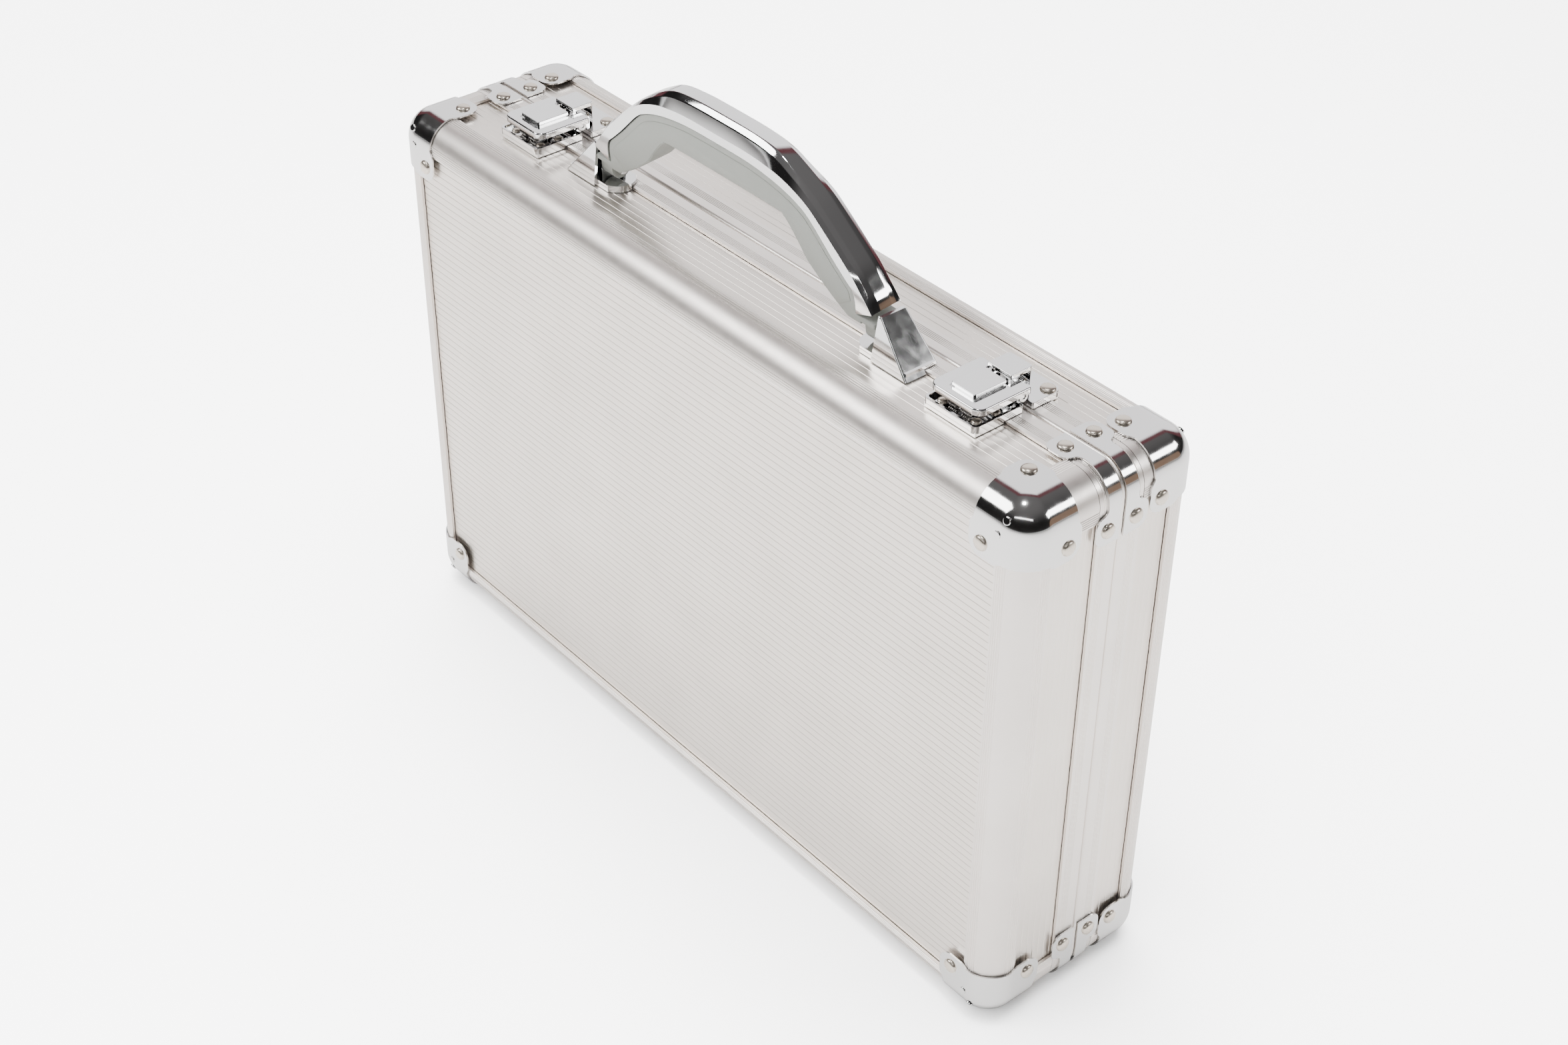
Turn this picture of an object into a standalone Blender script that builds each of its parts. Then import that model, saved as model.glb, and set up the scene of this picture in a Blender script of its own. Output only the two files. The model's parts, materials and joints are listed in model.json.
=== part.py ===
"""Small aluminium attache case: base half, hinged lid half, two draw latches, folding handle.

Units: metres (the numbers below are in millimetres and are scaled by MM).
+X along the long side, -Y is the front (base half), +Z up, origin under the middle of the case.
"""
import bpy
import bmesh
import math
from mathutils import Vector

MM = 0.001
# ---- overall -------------------------------------------------------------------------
W, D, H = 400.0, 92.0, 260.0       # over the corner plates
YP = 3.5                           # parting plane between the halves
GAP = 0.3                          # running gap between touching pieces
R0 = 14.0                          # outer corner radius at inset 0
# ---- shell levels (inset from the outer planes) ----------------------------------------
IN_FRAME, T_FRAME = 1.0, 1.2
IN_PANEL, T_PANEL = 2.5, 2.5
LIP = 15.0                         # frame lip on every face
Y_FRAME = 31.0                     # frame side lip ends at |y|
IN_LINING, T_LINING = 5.7, 1.5
# ---- rims ------------------------------------------------------------------------------
BASE_RIM_Y = -8.0
LID_RIM_Y = 14.5
RIM_IN, TONGUE = 5.3, 3.2
CHAMFER = 1.4
# ---- corner plates and clips -------------------------------------------------------------
T_SHEET = 0.7
CORNER, LOBE_AT, LOBE = 26.4, 22.0, 6.2
CLIP_AT, CLIP_LOBE, CLIP_BAND = 24.0, 6.0, 7.7
RIVET_R, RIVET_H = 3.2, 1.6
# ---- latches -------------------------------------------------------------------------------
LATCH_X = 136.0
BASE_Y0, BASE_Y1 = -23.7, 0.8
Z_TUB = 262.4
PIV_Y, PIV_Z = 1.0, 265.4          # lever axis
CLAW_Y, CLAW_Z = -4.0, 264.3       # claw axis on the lever
LEVER_HW, LEVER_Y0, LEVER_Y1 = 13.5, -21.8, 5.2
Z_LEVER = 268.2
PAD_HW = 6.3
Z_PAD, Z_CLAW = 270.0, 270.8
# ---- handle ----------------------------------------------------------------------------------
HND_Y, HND_Z = -9.8, 266.8         # handle axis
HND_HW, GRIP_HW = 7.3, 7.0
HND_TILT = 5.5                     # degrees towards the front at rest
BR_HW0, BR_HW1 = 8.9, 6.4
PIN_R = 1.6
# ---- hinge -------------------------------------------------------------------------------------
HG_Z, BARREL_R, HOLE_R, HPIN_R = 1.0, 0.80, 0.50, 0.35
HG_HALF, KNUCKLES = 150.0, 5
LEAF_W = 7.5

STAND = 1.6                        # the case stands on its lowest rivet heads

for o in list(bpy.data.objects):
    bpy.data.objects.remove(o, do_unlink=True)
scene = bpy.context.scene
PARTS = bpy.data.collections.new("attache_case")
CUTS = bpy.data.collections.new("cutters")
CUTS.hide_render = True
scene.collection.children.link(PARTS)
scene.collection.children.link(CUTS)


def material(name, rgb, metallic, rough):
    m = bpy.data.materials.new(name)
    m.use_nodes = True
    b = m.node_tree.nodes["Principled BSDF"]
    b.inputs["Base Color"].default_value = (rgb[0], rgb[1], rgb[2], 1.0)
    b.inputs["Metallic"].default_value = metallic
    b.inputs["Roughness"].default_value = rough
    m.diffuse_color = (rgb[0], rgb[1], rgb[2], 1.0)
    return m


M_ALU = material("satin_aluminium", (0.72, 0.70, 0.68), 1.0, 0.38)
M_PANEL = material("ribbed_aluminium", (0.70, 0.69, 0.67), 1.0, 0.34)
M_CHROME = material("bright_chrome", (0.82, 0.82, 0.83), 1.0, 0.08)
M_STEEL = material("hinge_steel", (0.56, 0.56, 0.57), 1.0, 0.30)
M_GRIP = material("grey_plastic", (0.36, 0.38, 0.35), 0.0, 0.55)
M_LINING = material("dark_felt", (0.05, 0.05, 0.055), 0.0, 0.95)


# ---- helpers ---------------------------------------------------------------------------------
def link(ob, col):
    for c in list(ob.users_collection):
        c.objects.unlink(ob)
    col.objects.link(ob)
    return ob


def obj_from_bm(bm, name, origin=(0, 0, 0)):
    bmesh.ops.recalc_face_normals(bm, faces=bm.faces)
    if bm.calc_volume(signed=True) < 0:
        bmesh.ops.reverse_faces(bm, faces=bm.faces)
    for v in bm.verts:
        v.co = (v.co - Vector(origin)) * MM
    me = bpy.data.meshes.new(name)
    bm.to_mesh(me)
    bm.free()
    ob = bpy.data.objects.new(name, me)
    ob.location = Vector(origin) * MM
    PARTS.objects.link(ob)
    return ob


def box(name, x0, x1, y0, y1, z0, z1, origin=(0, 0, 0)):
    bm = bmesh.new()
    bmesh.ops.create_cube(bm, size=1.0)
    for v in bm.verts:
        v.co = Vector(((x0 + x1) / 2 + v.co.x * (x1 - x0), (y0 + y1) / 2 + v.co.y * (y1 - y0),
                       (z0 + z1) / 2 + v.co.z * (z1 - z0)))
    return obj_from_bm(bm, name, origin)


def rod(name, axis, centre, r1, r2, length, seg=24, origin=(0, 0, 0)):
    """cylinder or cone; r1 at the minus end, r2 at the plus end of the axis"""
    bm = bmesh.new()
    bmesh.ops.create_cone(bm, cap_ends=True, segments=seg, radius1=r1, radius2=r2, depth=length)
    for v in bm.verts:
        x, y, z = v.co
        if axis == "X":
            v.co = Vector((z, x, y))
        elif axis == "Y":
            v.co = Vector((y, z, x))
        v.co += Vector(centre)
    return obj_from_bm(bm, name, origin)


def prism(name, outline, axis, a0, a1, origin=(0, 0, 0)):
    """closed outline pushed along an axis: 'Y' takes (x, z), 'X' takes (y, z), 'Z' takes (x, y)"""
    bm = bmesh.new()
    place = {"Y": lambda u, v, a: (u, a, v), "X": lambda u, v, a: (a, u, v), "Z": lambda u, v, a: (u, v, a)}[axis]
    vs = [bm.verts.new(place(u, v, a0)) for u, v in outline]
    f = bm.faces.new(vs)
    ext = bmesh.ops.extrude_face_region(bm, geom=[f])
    moved = [g for g in ext["geom"] if isinstance(g, bmesh.types.BMVert)]
    d = Vector(place(0, 0, a1 - a0))
    for v in moved:
        v.co += d
    return obj_from_bm(bm, name, origin)


def ring_points(inset, seg=6):
    """rounded rectangle in XZ at an inset from the outer planes"""
    a, b = W / 2 - inset, H / 2 - inset
    r = max(R0 - inset, 0.5)
    pts = []
    for k, (sx, sz) in enumerate([(1, 1), (-1, 1), (-1, -1), (1, -1)]):
        for i in range(seg + 1):
            t = math.radians(90 * k + 90.0 * i / seg)
            pts.append((sx * (a - r) + r * math.cos(t), H / 2 + sz * (b - r) + r * math.sin(t)))
    return pts


def ring_loft(name, loops, closed, origin=(0, 0, 0), seg=6):
    """loft through rounded rectangles; loops are (inset, y); an open list is capped at both ends"""
    bm = bmesh.new()
    rows = [[bm.verts.new((x, y, z)) for x, z in ring_points(d, seg)] for d, y in loops]
    n = len(rows[0])
    pairs = list(zip(rows, rows[1:])) + ([(rows[-1], rows[0])] if closed else [])
    for r1, r2 in pairs:
        for i in range(n):
            bm.faces.new((r1[i], r1[(i + 1) % n], r2[(i + 1) % n], r2[i]))
    if not closed:
        bm.faces.new(rows[0])
        bm.faces.new(rows[-1])
    return obj_from_bm(bm, name, origin)


def arc(cx, cy, r, a0, a1, n):
    return [(cx + r * math.cos(math.radians(a0 + (a1 - a0) * i / n)),
             cy + r * math.sin(math.radians(a0 + (a1 - a0) * i / n))) for i in range(n + 1)]


def boolean(ob, cutter, op="DIFFERENCE"):
    m = ob.modifiers.new(op.lower(), "BOOLEAN")
    m.operation = op
    m.solver = "EXACT"
    m.object = cutter
    link(cutter, CUTS)
    cutter.hide_render = True
    cutter.display_type = "WIRE"
    return ob


def bevel(ob, width, seg=2, angle=40.0, pick=None):
    m = ob.modifiers.new("bevel", "BEVEL")
    m.width = width * MM
    m.segments = seg
    m.use_clamp_overlap = True
    if pick is None:
        m.limit_method = "ANGLE"
        m.angle_limit = math.radians(angle)
    else:
        m.limit_method = "WEIGHT"
        me = ob.data
        at = me.attributes.get("bevel_weight_edge") or me.attributes.new("bevel_weight_edge", "FLOAT", "EDGE")
        for e in me.edges:
            c = (me.vertices[e.vertices[0]].co + me.vertices[e.vertices[1]].co) / 2 / MM + ob.location / MM
            d = (me.vertices[e.vertices[0]].co - me.vertices[e.vertices[1]].co).normalized()
            at.data[e.index].value = 1.0 if pick(c, d) else 0.0
    return ob


def bake(ob):
    """apply the modifier stack and drop the cutters it used"""
    used = [m.object for m in ob.modifiers if m.type == "BOOLEAN"]
    bpy.context.view_layer.update()
    dg = bpy.context.evaluated_depsgraph_get()
    me = bpy.data.meshes.new_from_object(ob.evaluated_get(dg))
    ob.modifiers.clear()
    ob.data = me
    for c in used:
        if c is not None and c.name in bpy.data.objects:
            bpy.data.objects.remove(c, do_unlink=True)
    return ob


def finish(ob, name, mat, smooth=None, parent=None):
    ob.name = name
    ob.data.name = name
    ob.data.materials.clear()
    ob.data.materials.append(mat)
    if smooth is not None:
        for p in ob.data.polygons:
            p.use_smooth = True
        ob.data.set_sharp_from_angle(angle=math.radians(smooth))
    if parent is not None:
        bpy.context.view_layer.update()
        ob.parent = parent
        ob.matrix_parent_inverse = parent.matrix_world.inverted()
    return ob


def copy(ob, name, scale=(1, 1, 1), shift=(0, 0, 0)):
    c = bpy.data.objects.new(name, ob.data)
    c.location = ob.location + Vector(shift) * MM
    c.scale = scale
    PARTS.objects.link(c)
    return c


def rivet(axis, centre, sign=1, origin=(0, 0, 0)):
    """low dome sunk half the sheet thickness"""
    sink = 0.35
    c = Vector(centre)
    off = {"X": Vector((1, 0, 0)), "Y": Vector((0, 1, 0)), "Z": Vector((0, 0, 1))}[axis] * sign
    c += off * ((RIVET_H - sink) / 2)
    r1, r2 = (RIVET_R, 2.1) if sign > 0 else (2.1, RIVET_R)
    ob = rod("rivet", axis, c, r1, r2, RIVET_H + sink, 14, origin)
    return ob


# ---- front and back halves: panels, frames, posts, rims, linings ---------------------------------
PX, PZ0, PZ1 = W / 2 - R0, R0, H - R0      # flat extent between the rounded corners


def half(prefix, s, rim_y, rim_loops, lining_lip):
    """s = -1 for the base half (towards -Y), +1 for the lid half"""
    yo = s * D / 2
    # broad panel
    p = box("p", -PX, PX, yo - s * IN_PANEL, yo - s * (IN_PANEL + 3.0), PZ0, PZ1)
    finish(p, prefix + "_panel_front" if s < 0 else prefix + "_panel_back", M_PANEL)
    ya, yb = sorted((s * (Y_FRAME + 2.0), rim_y - s * 0.0 + (-2.0 if s > 0 else 2.0)))
    za, zb = H - IN_PANEL - T_PANEL, H - IN_PANEL
    finish(box("p", -PX, PX, ya, yb, za, zb), prefix + "_panel_top", M_PANEL)
    finish(box("p", -PX, PX, ya, yb, IN_PANEL, IN_PANEL + T_PANEL), prefix + "_panel_bottom", M_PANEL)
    xa, xb = W / 2 - IN_PANEL - T_PANEL, W / 2 - IN_PANEL
    finish(box("p", -xb, -xa, ya, yb, PZ0, PZ1), prefix + "_panel_left", M_PANEL)
    finish(box("p", xa, xb, ya, yb, PZ0, PZ1), prefix + "_panel_right", M_PANEL)
    # edge frame: lip on the sides, quarter round, lip on the broad face
    c = D / 2 - R0
    outer = [(R0 - (R0 - IN_FRAME) * math.cos(math.radians(t)), c + (R0 - IN_FRAME) * math.sin(math.radians(t)))
             for t in (0, 18, 36, 54, 72, 90)]
    ri = R0 - IN_FRAME - T_FRAME
    inner = [(R0 - ri * math.cos(math.radians(t)), c + ri * math.sin(math.radians(t))) for t in (90, 72, 54, 36, 18, 0)]
    loops = [(IN_FRAME, Y_FRAME)] + outer + [(LIP, c + R0 - IN_FRAME), (LIP, c + ri)] + inner + \
            [(IN_FRAME + T_FRAME, Y_FRAME)]
    f = ring_loft("f", [(d, s * y) for d, y in loops], True)
    finish(f, prefix + "_edge_frame", M_ALU, 40)
    # corner posts between the frame and the rim
    ro = R0 - IN_FRAME
    cx, cz = W / 2 - R0, H / 2 - R0
    out = [(W / 2 - LIP - 7, H / 2 - IN_FRAME)] + arc(cx, cz, ro, 90, 0, 8) + [(W / 2 - IN_FRAME, H / 2 - LIP - 7)]
    inn = [(W / 2 - IN_FRAME - T_FRAME, H / 2 - LIP - 7)] + arc(cx, cz, ri, 0, 90, 8) + \
          [(W / 2 - LIP - 7, H / 2 - IN_FRAME - T_FRAME)]
    y0, y1 = sorted((s * (Y_FRAME - GAP), rim_y - (GAP if s > 0 else -GAP) * -1.0))
    outline = [(x, z + H / 2) for x, z in out + inn]
    post = prism("post", outline, "Y", y0, y1, (0, 0, H / 2))
    finish(post, prefix + "_post_top_right", M_ALU, 40)
    for nm, sc in (("top_left", (-1, 1, 1)), ("bottom_right", (1, 1, -1)), ("bottom_left", (-1, 1, -1))):
        copy(post, prefix + "_post_" + nm, sc)
    # rim
    finish(ring_loft("rim", rim_loops, True), prefix + "_rim", M_ALU, 40)
    # lining: an open tray
    li, lt = IN_LINING, T_LINING
    fl = D / 2 - 5.9
    tray = [(14.0, s * fl), (li + 3.5, s * (fl - 1.0)), (li, s * (fl - 5.5)), (li, lining_lip),
            (li + lt, lining_lip), (li + lt, s * (fl - 5.8)), (li + lt + 3.0, s * (fl - 2.3)), (14.0, s * (fl - lt))]
    finish(ring_loft("lining", tray, False, seg=5), prefix + "_lining", M_LINING, 50)


b0 = YP - GAP / 2
base_rim = [(IN_FRAME, BASE_RIM_Y), (IN_FRAME, b0 - CHAMFER), (IN_FRAME + CHAMFER, b0), (3.9, b0), (3.9, YP + TONGUE),
            (RIM_IN, YP + TONGUE), (RIM_IN, BASE_RIM_Y + 2.3), (IN_FRAME + T_FRAME, BASE_RIM_Y + 2.3),
            (IN_FRAME + T_FRAME, BASE_RIM_Y)]
l0 = YP + GAP / 2
lid_rim = [(IN_FRAME, LID_RIM_Y), (IN_FRAME, l0 + CHAMFER), (IN_FRAME + CHAMFER, l0), (3.55, l0),
           (3.55, YP + TONGUE + 0.4), (RIM_IN, YP + TONGUE + 0.4), (RIM_IN, LID_RIM_Y - 2.3),
           (IN_FRAME + T_FRAME, LID_RIM_Y - 2.3), (IN_FRAME + T_FRAME, LID_RIM_Y)]
half("base", -1, BASE_RIM_Y, base_rim, YP - 0.3)
half("lid", 1, LID_RIM_Y, lid_rim, YP + TONGUE + 0.6)

# ---- corner plates (one pressed sheet with three riveted lobes, mirrored to eight) -----------------
C = (0, 0, H / 2)
X1, Y1, Z1 = W / 2, -D / 2, H


def corner_block(inset, name):
    o = box(name, X1 - 45, X1 - inset, Y1 + inset, Y1 + 45, Z1 - 45, Z1 - inset, C)
    return bevel(o, R0 - inset, 5, pick=lambda c, d: sum((abs(c.x - (X1 - inset)) < 0.01, abs(c.y - (Y1 + inset)) < 0.01,
                                                          abs(c.z - (Z1 - inset)) < 0.01)) == 2)


corner = corner_block(0.0, "corner")
boolean(corner, corner_block(T_SHEET, "hollow"))
FACE = [(-3, -3), (CORNER, -3), (CORNER, 12.0), (CORNER + 1.6, 15.5)] + arc(LOBE_AT, LOBE_AT, LOBE, 0, 90, 6) + \
    [(15.5, CORNER + 1.6), (12.0, CORNER), (-3, CORNER)]
lobes = prism("lobes", [(X1 - a, Y1 + b) for a, b in FACE], "Z", Z1 - R0, Z1 + 3, C)
boolean(lobes, prism("lobe", [(X1 - a, Z1 - b) for a, b in FACE], "Y", Y1 - 3, Y1 + R0, C), "UNION")
boolean(lobes, prism("lobe", [(Y1 + a, Z1 - b) for a, b in FACE], "X", X1 - R0, X1 + 3, C), "UNION")
bake(lobes)
boolean(corner, lobes, "INTERSECT")
for ax, cen, sg in (("Z", (X1 - LOBE_AT, Y1 + LOBE_AT, Z1), 1), ("Y", (X1 - LOBE_AT, Y1, Z1 - LOBE_AT), -1),
                    ("X", (X1, Y1 + LOBE_AT, Z1 - LOBE_AT), 1)):
    boolean(corner, rivet(ax, cen, sg, C), "UNION")
bake(corner)
finish(corner, "base_corner_top_right", M_CHROME, 35)
for pre, sy in (("base", 1), ("lid", -1)):
    for nm, sx, sz in (("top_right", 1, 1), ("top_left", -1, 1), ("bottom_right", 1, -1), ("bottom_left", -1, -1)):
        if (pre, nm) != ("base", "top_right"):
            copy(corner, pre + "_corner_" + nm, (sx, sy, sz))

# ---- rim clips (bent sheet with two riveted lobes, mirrored to eight) -------------------------------
C = (0, YP, H / 2)
rout, rin = R0, R0 - T_SHEET
reach = CLIP_AT + CLIP_LOBE + 4
cx, cz = W / 2 - R0, H - R0
outl = [(W / 2 - reach, H)] + arc(cx, cz, rout, 90, 0, 8) + [(W / 2, H - reach)] + [(W / 2 - T_SHEET, H - reach)] + \
    arc(cx, cz, rin, 0, 90, 8) + [(W / 2 - reach, H - T_SHEET)]
clip = prism("clip", outl, "Y", YP - 16, YP - 1.2, C)
cy = YP - 7.3
shape = box("shape", W / 2 - CLIP_AT, W / 2 + 3, YP - CLIP_BAND, YP + 1, H - CLIP_AT, H + 3, C)
boolean(shape, rod("lobe", "Z", (W / 2 - CLIP_AT, cy, H), CLIP_LOBE, CLIP_LOBE, 8.0, 28, C), "UNION")
boolean(shape, rod("lobe", "X", (W / 2, cy, H - CLIP_AT), CLIP_LOBE, CLIP_LOBE, 8.0, 28, C), "UNION")
bake(shape)
boolean(clip, shape, "INTERSECT")
boolean(clip, rivet("Z", (W / 2 - CLIP_AT, cy, H), 1, C), "UNION")
boolean(clip, rivet("X", (W / 2, cy, H - CLIP_AT), 1, C), "UNION")
bake(clip)
finish(clip, "base_clip_top_right", M_CHROME, 35)
for pre, sy in (("base", 1), ("lid", -1)):
    for nm, sx, sz in (("top_right", 1, 1), ("top_left", -1, 1), ("bottom_right", 1, -1), ("bottom_left", -1, -1)):
        if (pre, nm) != ("base", "top_right"):
            copy(clip, pre + "_clip_" + nm, (sx, sy, sz))

# ---- draw latches --------------------------------------------------------------------------------------
LX = LATCH_X
ZR = H - IN_FRAME + GAP            # stands on the rim
ZPN = H - IN_PANEL + GAP           # stands on the ribbed panel

# base tub with two ears and their trunnions
O = (LX, (BASE_Y0 + BASE_Y1) / 2, ZR)
tub = box("tub", LX - 14, LX + 14, BASE_Y0, BASE_Y1, ZR, Z_TUB, O)
bevel(tub, 1.6, 2, pick=lambda c, d: abs(d.z) > 0.9)
boolean(tub, box("foot", LX - 13.4, LX + 13.4, BASE_Y0 + 0.6, BASE_RIM_Y - GAP - 0.2, ZPN, ZR + 0.5, O), "UNION")
boolean(tub, box("well", LX - 12.8, LX + 12.8, BASE_Y0 + 1.2, BASE_Y1 - 1.2, ZR + 1.1, Z_TUB + 5, O))
for sx in (-1, 1):
    ear = prism("ear", [(PIV_Y - 2.6, ZR + 0.6), (BASE_Y1 - 0.3, ZR + 0.6), (PIV_Y + 1.3, PIV_Z)] +
                arc(PIV_Y, PIV_Z, 1.3, 20, 160, 6) + [(PIV_Y - 1.3, PIV_Z)], "X", LX + sx * 10.4, LX + sx * 11.7, O)
    boolean(tub, ear, "UNION")
    boolean(tub, rod("trunnion", "X", (LX + sx * 12.2, PIV_Y, PIV_Z), 0.9, 0.9, 2.0, 16, O), "UNION")
bake(tub)
finish(tub, "latch_base_right", M_CHROME, 35)
copy(tub, "latch_base_left", (1, 1, 1), (-2 * LX, 0, 0))

# lever: shallow pressed cap with a raised thumb pad, slotted for the claw, origin on its axis
O = (LX, PIV_Y, PIV_Z)
lev = box("lever", LX - LEVER_HW, LX + LEVER_HW, LEVER_Y0, LEVER_Y1, 265.5, Z_LEVER, O)
bevel(lev, 3.4, 3, pick=lambda c, d: abs(d.z) > 0.9 and c.y < 0)
boolean(lev, box("hollow", LX - LEVER_HW + 1.3, LX + LEVER_HW - 1.3, LEVER_Y0 + 1.3, LEVER_Y1 + 4, 260.0, 267.0, O))
pad = box("pad", LX - PAD_HW, LX + PAD_HW, -17.2, PIV_Y - 2.1, Z_LEVER - 0.6, Z_PAD, O)
bevel(pad, 0.5, 1, pick=lambda c, d: c.z > Z_PAD - 0.01)
boolean(lev, pad, "UNION")
for sx in (-1, 1):
    boolean(lev, rod("tab", "X", (LX + sx * (LEVER_HW - 0.65), PIV_Y, PIV_Z), 2.1, 2.1, 1.3, 20, O), "UNION")
    boolean(lev, prism("rib", [(CLAW_Y - 1.7, 267.4), (CLAW_Y - 1.7, CLAW_Z - 1.0), (CLAW_Y - 0.9, CLAW_Z - 1.7),
                               (CLAW_Y + 0.9, CLAW_Z - 1.7), (CLAW_Y + 1.7, CLAW_Z - 1.0), (CLAW_Y + 1.7, 267.4)],
                       "X", LX + sx * 5.6, LX + sx * 6.8, O), "UNION")
boolean(lev, box("slot", LX - 6.9, LX + 6.9, PIV_Y - 2.1, LEVER_Y1 + 3, 262.0, 272.0, O))
boolean(lev, prism("undercut", [(PIV_Y - 4.6, PIV_Z + 1.0), (PIV_Y - 1.9, PIV_Z + 4.3), (PIV_Y + 2, PIV_Z + 4.3),
                                (PIV_Y + 2, PIV_Z + 1.0)], "X", LX - 5.5, LX + 5.5, O))
boolean(lev, rod("bore", "X", (LX, PIV_Y, PIV_Z), 1.2, 1.2, 40, 20, O))
boolean(lev, rod("bore", "X", (LX, CLAW_Y, CLAW_Z), 1.05, 1.05, 18, 20, O))
bake(lev)
finish(lev, "latch_lever_right", M_CHROME, 35)
lev_l = copy(lev, "latch_lever_left", (1, 1, 1), (-2 * LX, 0, 0))

# claw: eye on the pin, arm under the lever, plate and down-turned hook behind the catch ridge
O = (LX, CLAW_Y, CLAW_Z)
side = [(CLAW_Y, CLAW_Z - 0.8), (3.6, CLAW_Z - 0.8), (3.6, 269.0), (11.2, 269.0), (11.2, 262.7), (12.5, 262.7),
        (12.5, 270.3), (12.0, Z_CLAW), (1.6, Z_CLAW), (1.2, 270.4), (1.2, 269.0), (2.2, 269.0), (2.2, CLAW_Z + 0.8),
        (CLAW_Y, CLAW_Z + 0.8)]
claw = prism("claw", side, "X", LX - 5.0, LX + 5.0, O)
boolean(claw, box("plate", LX - PAD_HW, LX + PAD_HW, 1.3, 12.4, 269.2, Z_CLAW - 0.05, O), "UNION")
boolean(claw, box("hook", LX - PAD_HW, LX + PAD_HW, 11.25, 12.4, 262.8, 270.0, O), "UNION")
boolean(claw, rod("eye", "X", (LX, CLAW_Y, CLAW_Z), 1.5, 1.5, 10.0, 20, O), "UNION")
boolean(claw, rod("bore", "X", (LX, CLAW_Y, CLAW_Z), 1.0, 1.0, 14.0, 20, O))
bake(claw)
finish(claw, "latch_claw_right", M_CHROME, 35)
claw_l = copy(claw, "latch_claw_left", (1, 1, 1), (-2 * LX, 0, 0))

pin = rod("pin", "X", (LX, CLAW_Y, CLAW_Z), 0.72, 0.72, 14.6, 16, O)
finish(pin, "latch_pin_right", M_STEEL, 40)
copy(pin, "latch_pin_left", (1, 1, 1), (-2 * LX, 0, 0))

# catch plate on the lid
O = (LX, 12.0, ZR)
cat = box("catch", LX - 15, LX + 15, 4.4, 20.0, ZR, 261.9, O)
bevel(cat, 2.6, 3, pick=lambda c, d: abs(d.z) > 0.9 and c.y > 10)
boolean(cat, box("foot", LX - 14.0, LX + 14.0, LID_RIM_Y + GAP + 0.2, 19.2, ZPN, ZR + 0.5, O), "UNION")
boolean(cat, prism("ridge", [(7.4, 261.5), (10.6, 261.5), (10.6, 265.6), (10.2, 266.0), (9.0, 266.0), (7.4, 263.0)],
                   "X", LX - 5.5, LX + 5.5, O), "UNION")
for sx in (-1, 1):
    boolean(cat, rivet("Z", (LX + sx * 11.6, 15.6, 261.9), 1, O), "UNION")
bake(cat)
finish(cat, "latch_catch_right", M_CHROME, 35)
copy(cat, "latch_catch_left", (1, 1, 1), (-2 * LX, 0, 0))

# ---- handle brackets and pins ------------------------------------------------------------------------------
O = (88.0, HND_Y, ZR)


def tent(name, grow, x_open):
    """wedge: rectangular foot, short ridge leaning over the inner side"""
    bm = bmesh.new()
    bmesh.ops.create_cube(bm, size=1.0)
    for v in bm.verts:
        low = v.co.z < 0
        hw = (BR_HW0 if low else BR_HW1) + grow
        inner = v.co.x < 0
        x = x_open if inner else ((107.5 if low else 90.2) + grow * 1.2)
        if inner and not low:
            x = x_open + (0.9 if grow == 0 else 0.0)
        z = (ZPN if low else 277.2 + grow * 1.6)
        v.co = Vector((x, HND_Y + (hw if v.co.y > 0 else -hw), z))
    return obj_from_bm(bm, name, O)


br = tent("bracket", 0.0, 87.7)
bevel(br, 0.5, 1, pick=lambda c, d: c.x > 89.0 and abs(d.y) < 0.9)
boolean(br, tent("inside", -1.3, 80.0))
boolean(br, box("foot", 80.0, 106.2, HND_Y - 7.6, HND_Y + 7.6, ZPN, 260.7, O), "UNION")
boolean(br, rod("toe", "Z", (82.6, HND_Y, (ZPN + 260.7) / 2), 7.6, 7.6, 260.7 - ZPN, 32, O), "UNION")
boolean(br, box("cheek", 88.0, 89.9, HND_Y - 4.4, HND_Y + 4.4, 260.0, 271.0, O), "UNION")
boolean(br, rod("bore", "X", (90.0, HND_Y, HND_Z), PIN_R + 0.25, PIN_R + 0.25, 8.0, 24, O))
boolean(br, box("step", 60.0, 120.0, BASE_RIM_Y - GAP, 10.0, 250.0, ZR, O))
bake(br)
finish(br, "handle_bracket_right", M_CHROME, 35)
copy(br, "handle_bracket_left", (-1, 1, 1), (-2 * 88.0, 0, 0))

O = (88.0, HND_Y, HND_Z)
hp = rod("pin", "X", (85.2, HND_Y, HND_Z), PIN_R, PIN_R, 12.4, 24, O)
boolean(hp, rod("head", "X", (78.6, HND_Y, HND_Z), 2.3, 2.6, 1.2, 24, O), "UNION")
bake(hp)
finish(hp, "handle_pin_right", M_STEEL, 40)
copy(hp, "handle_pin_left", (-1, 1, 1), (-2 * 88.0, 0, 0))

# ---- handle: grey core with a bright outer shell; local frame has its origin on the handle axis ----------------
low = [(0, 48.6), (17, 48.4), (28.4, 47.3), (38.6, 45.3), (47.3, 42.3), (53.9, 38.2), (65.3, 27.2), (72.3, 20.9),
       (76.2, 17.4), (77.6, 13.2), (77.7, 7.6)]
band = [(0, 52.5), (17.2, 52.5), (29.5, 51.5), (40.0, 49.5), (50.8, 45.1), (57.9, 40.0), (69.9, 29.8), (76.3, 23.9),
        (80.5, 19.0), (84.0, 14.9), (86.9, 11.2)]
crown = [(0, 59.7), (18, 59.4), (31.5, 58.4), (43.5, 56.1), (54.0, 51.2), (62.5, 45.5), (75.5, 35.2), (83.0, 28.9),
         (87.4, 23.6), (89.3, 19.2), (88.0, 13.2)]
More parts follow.
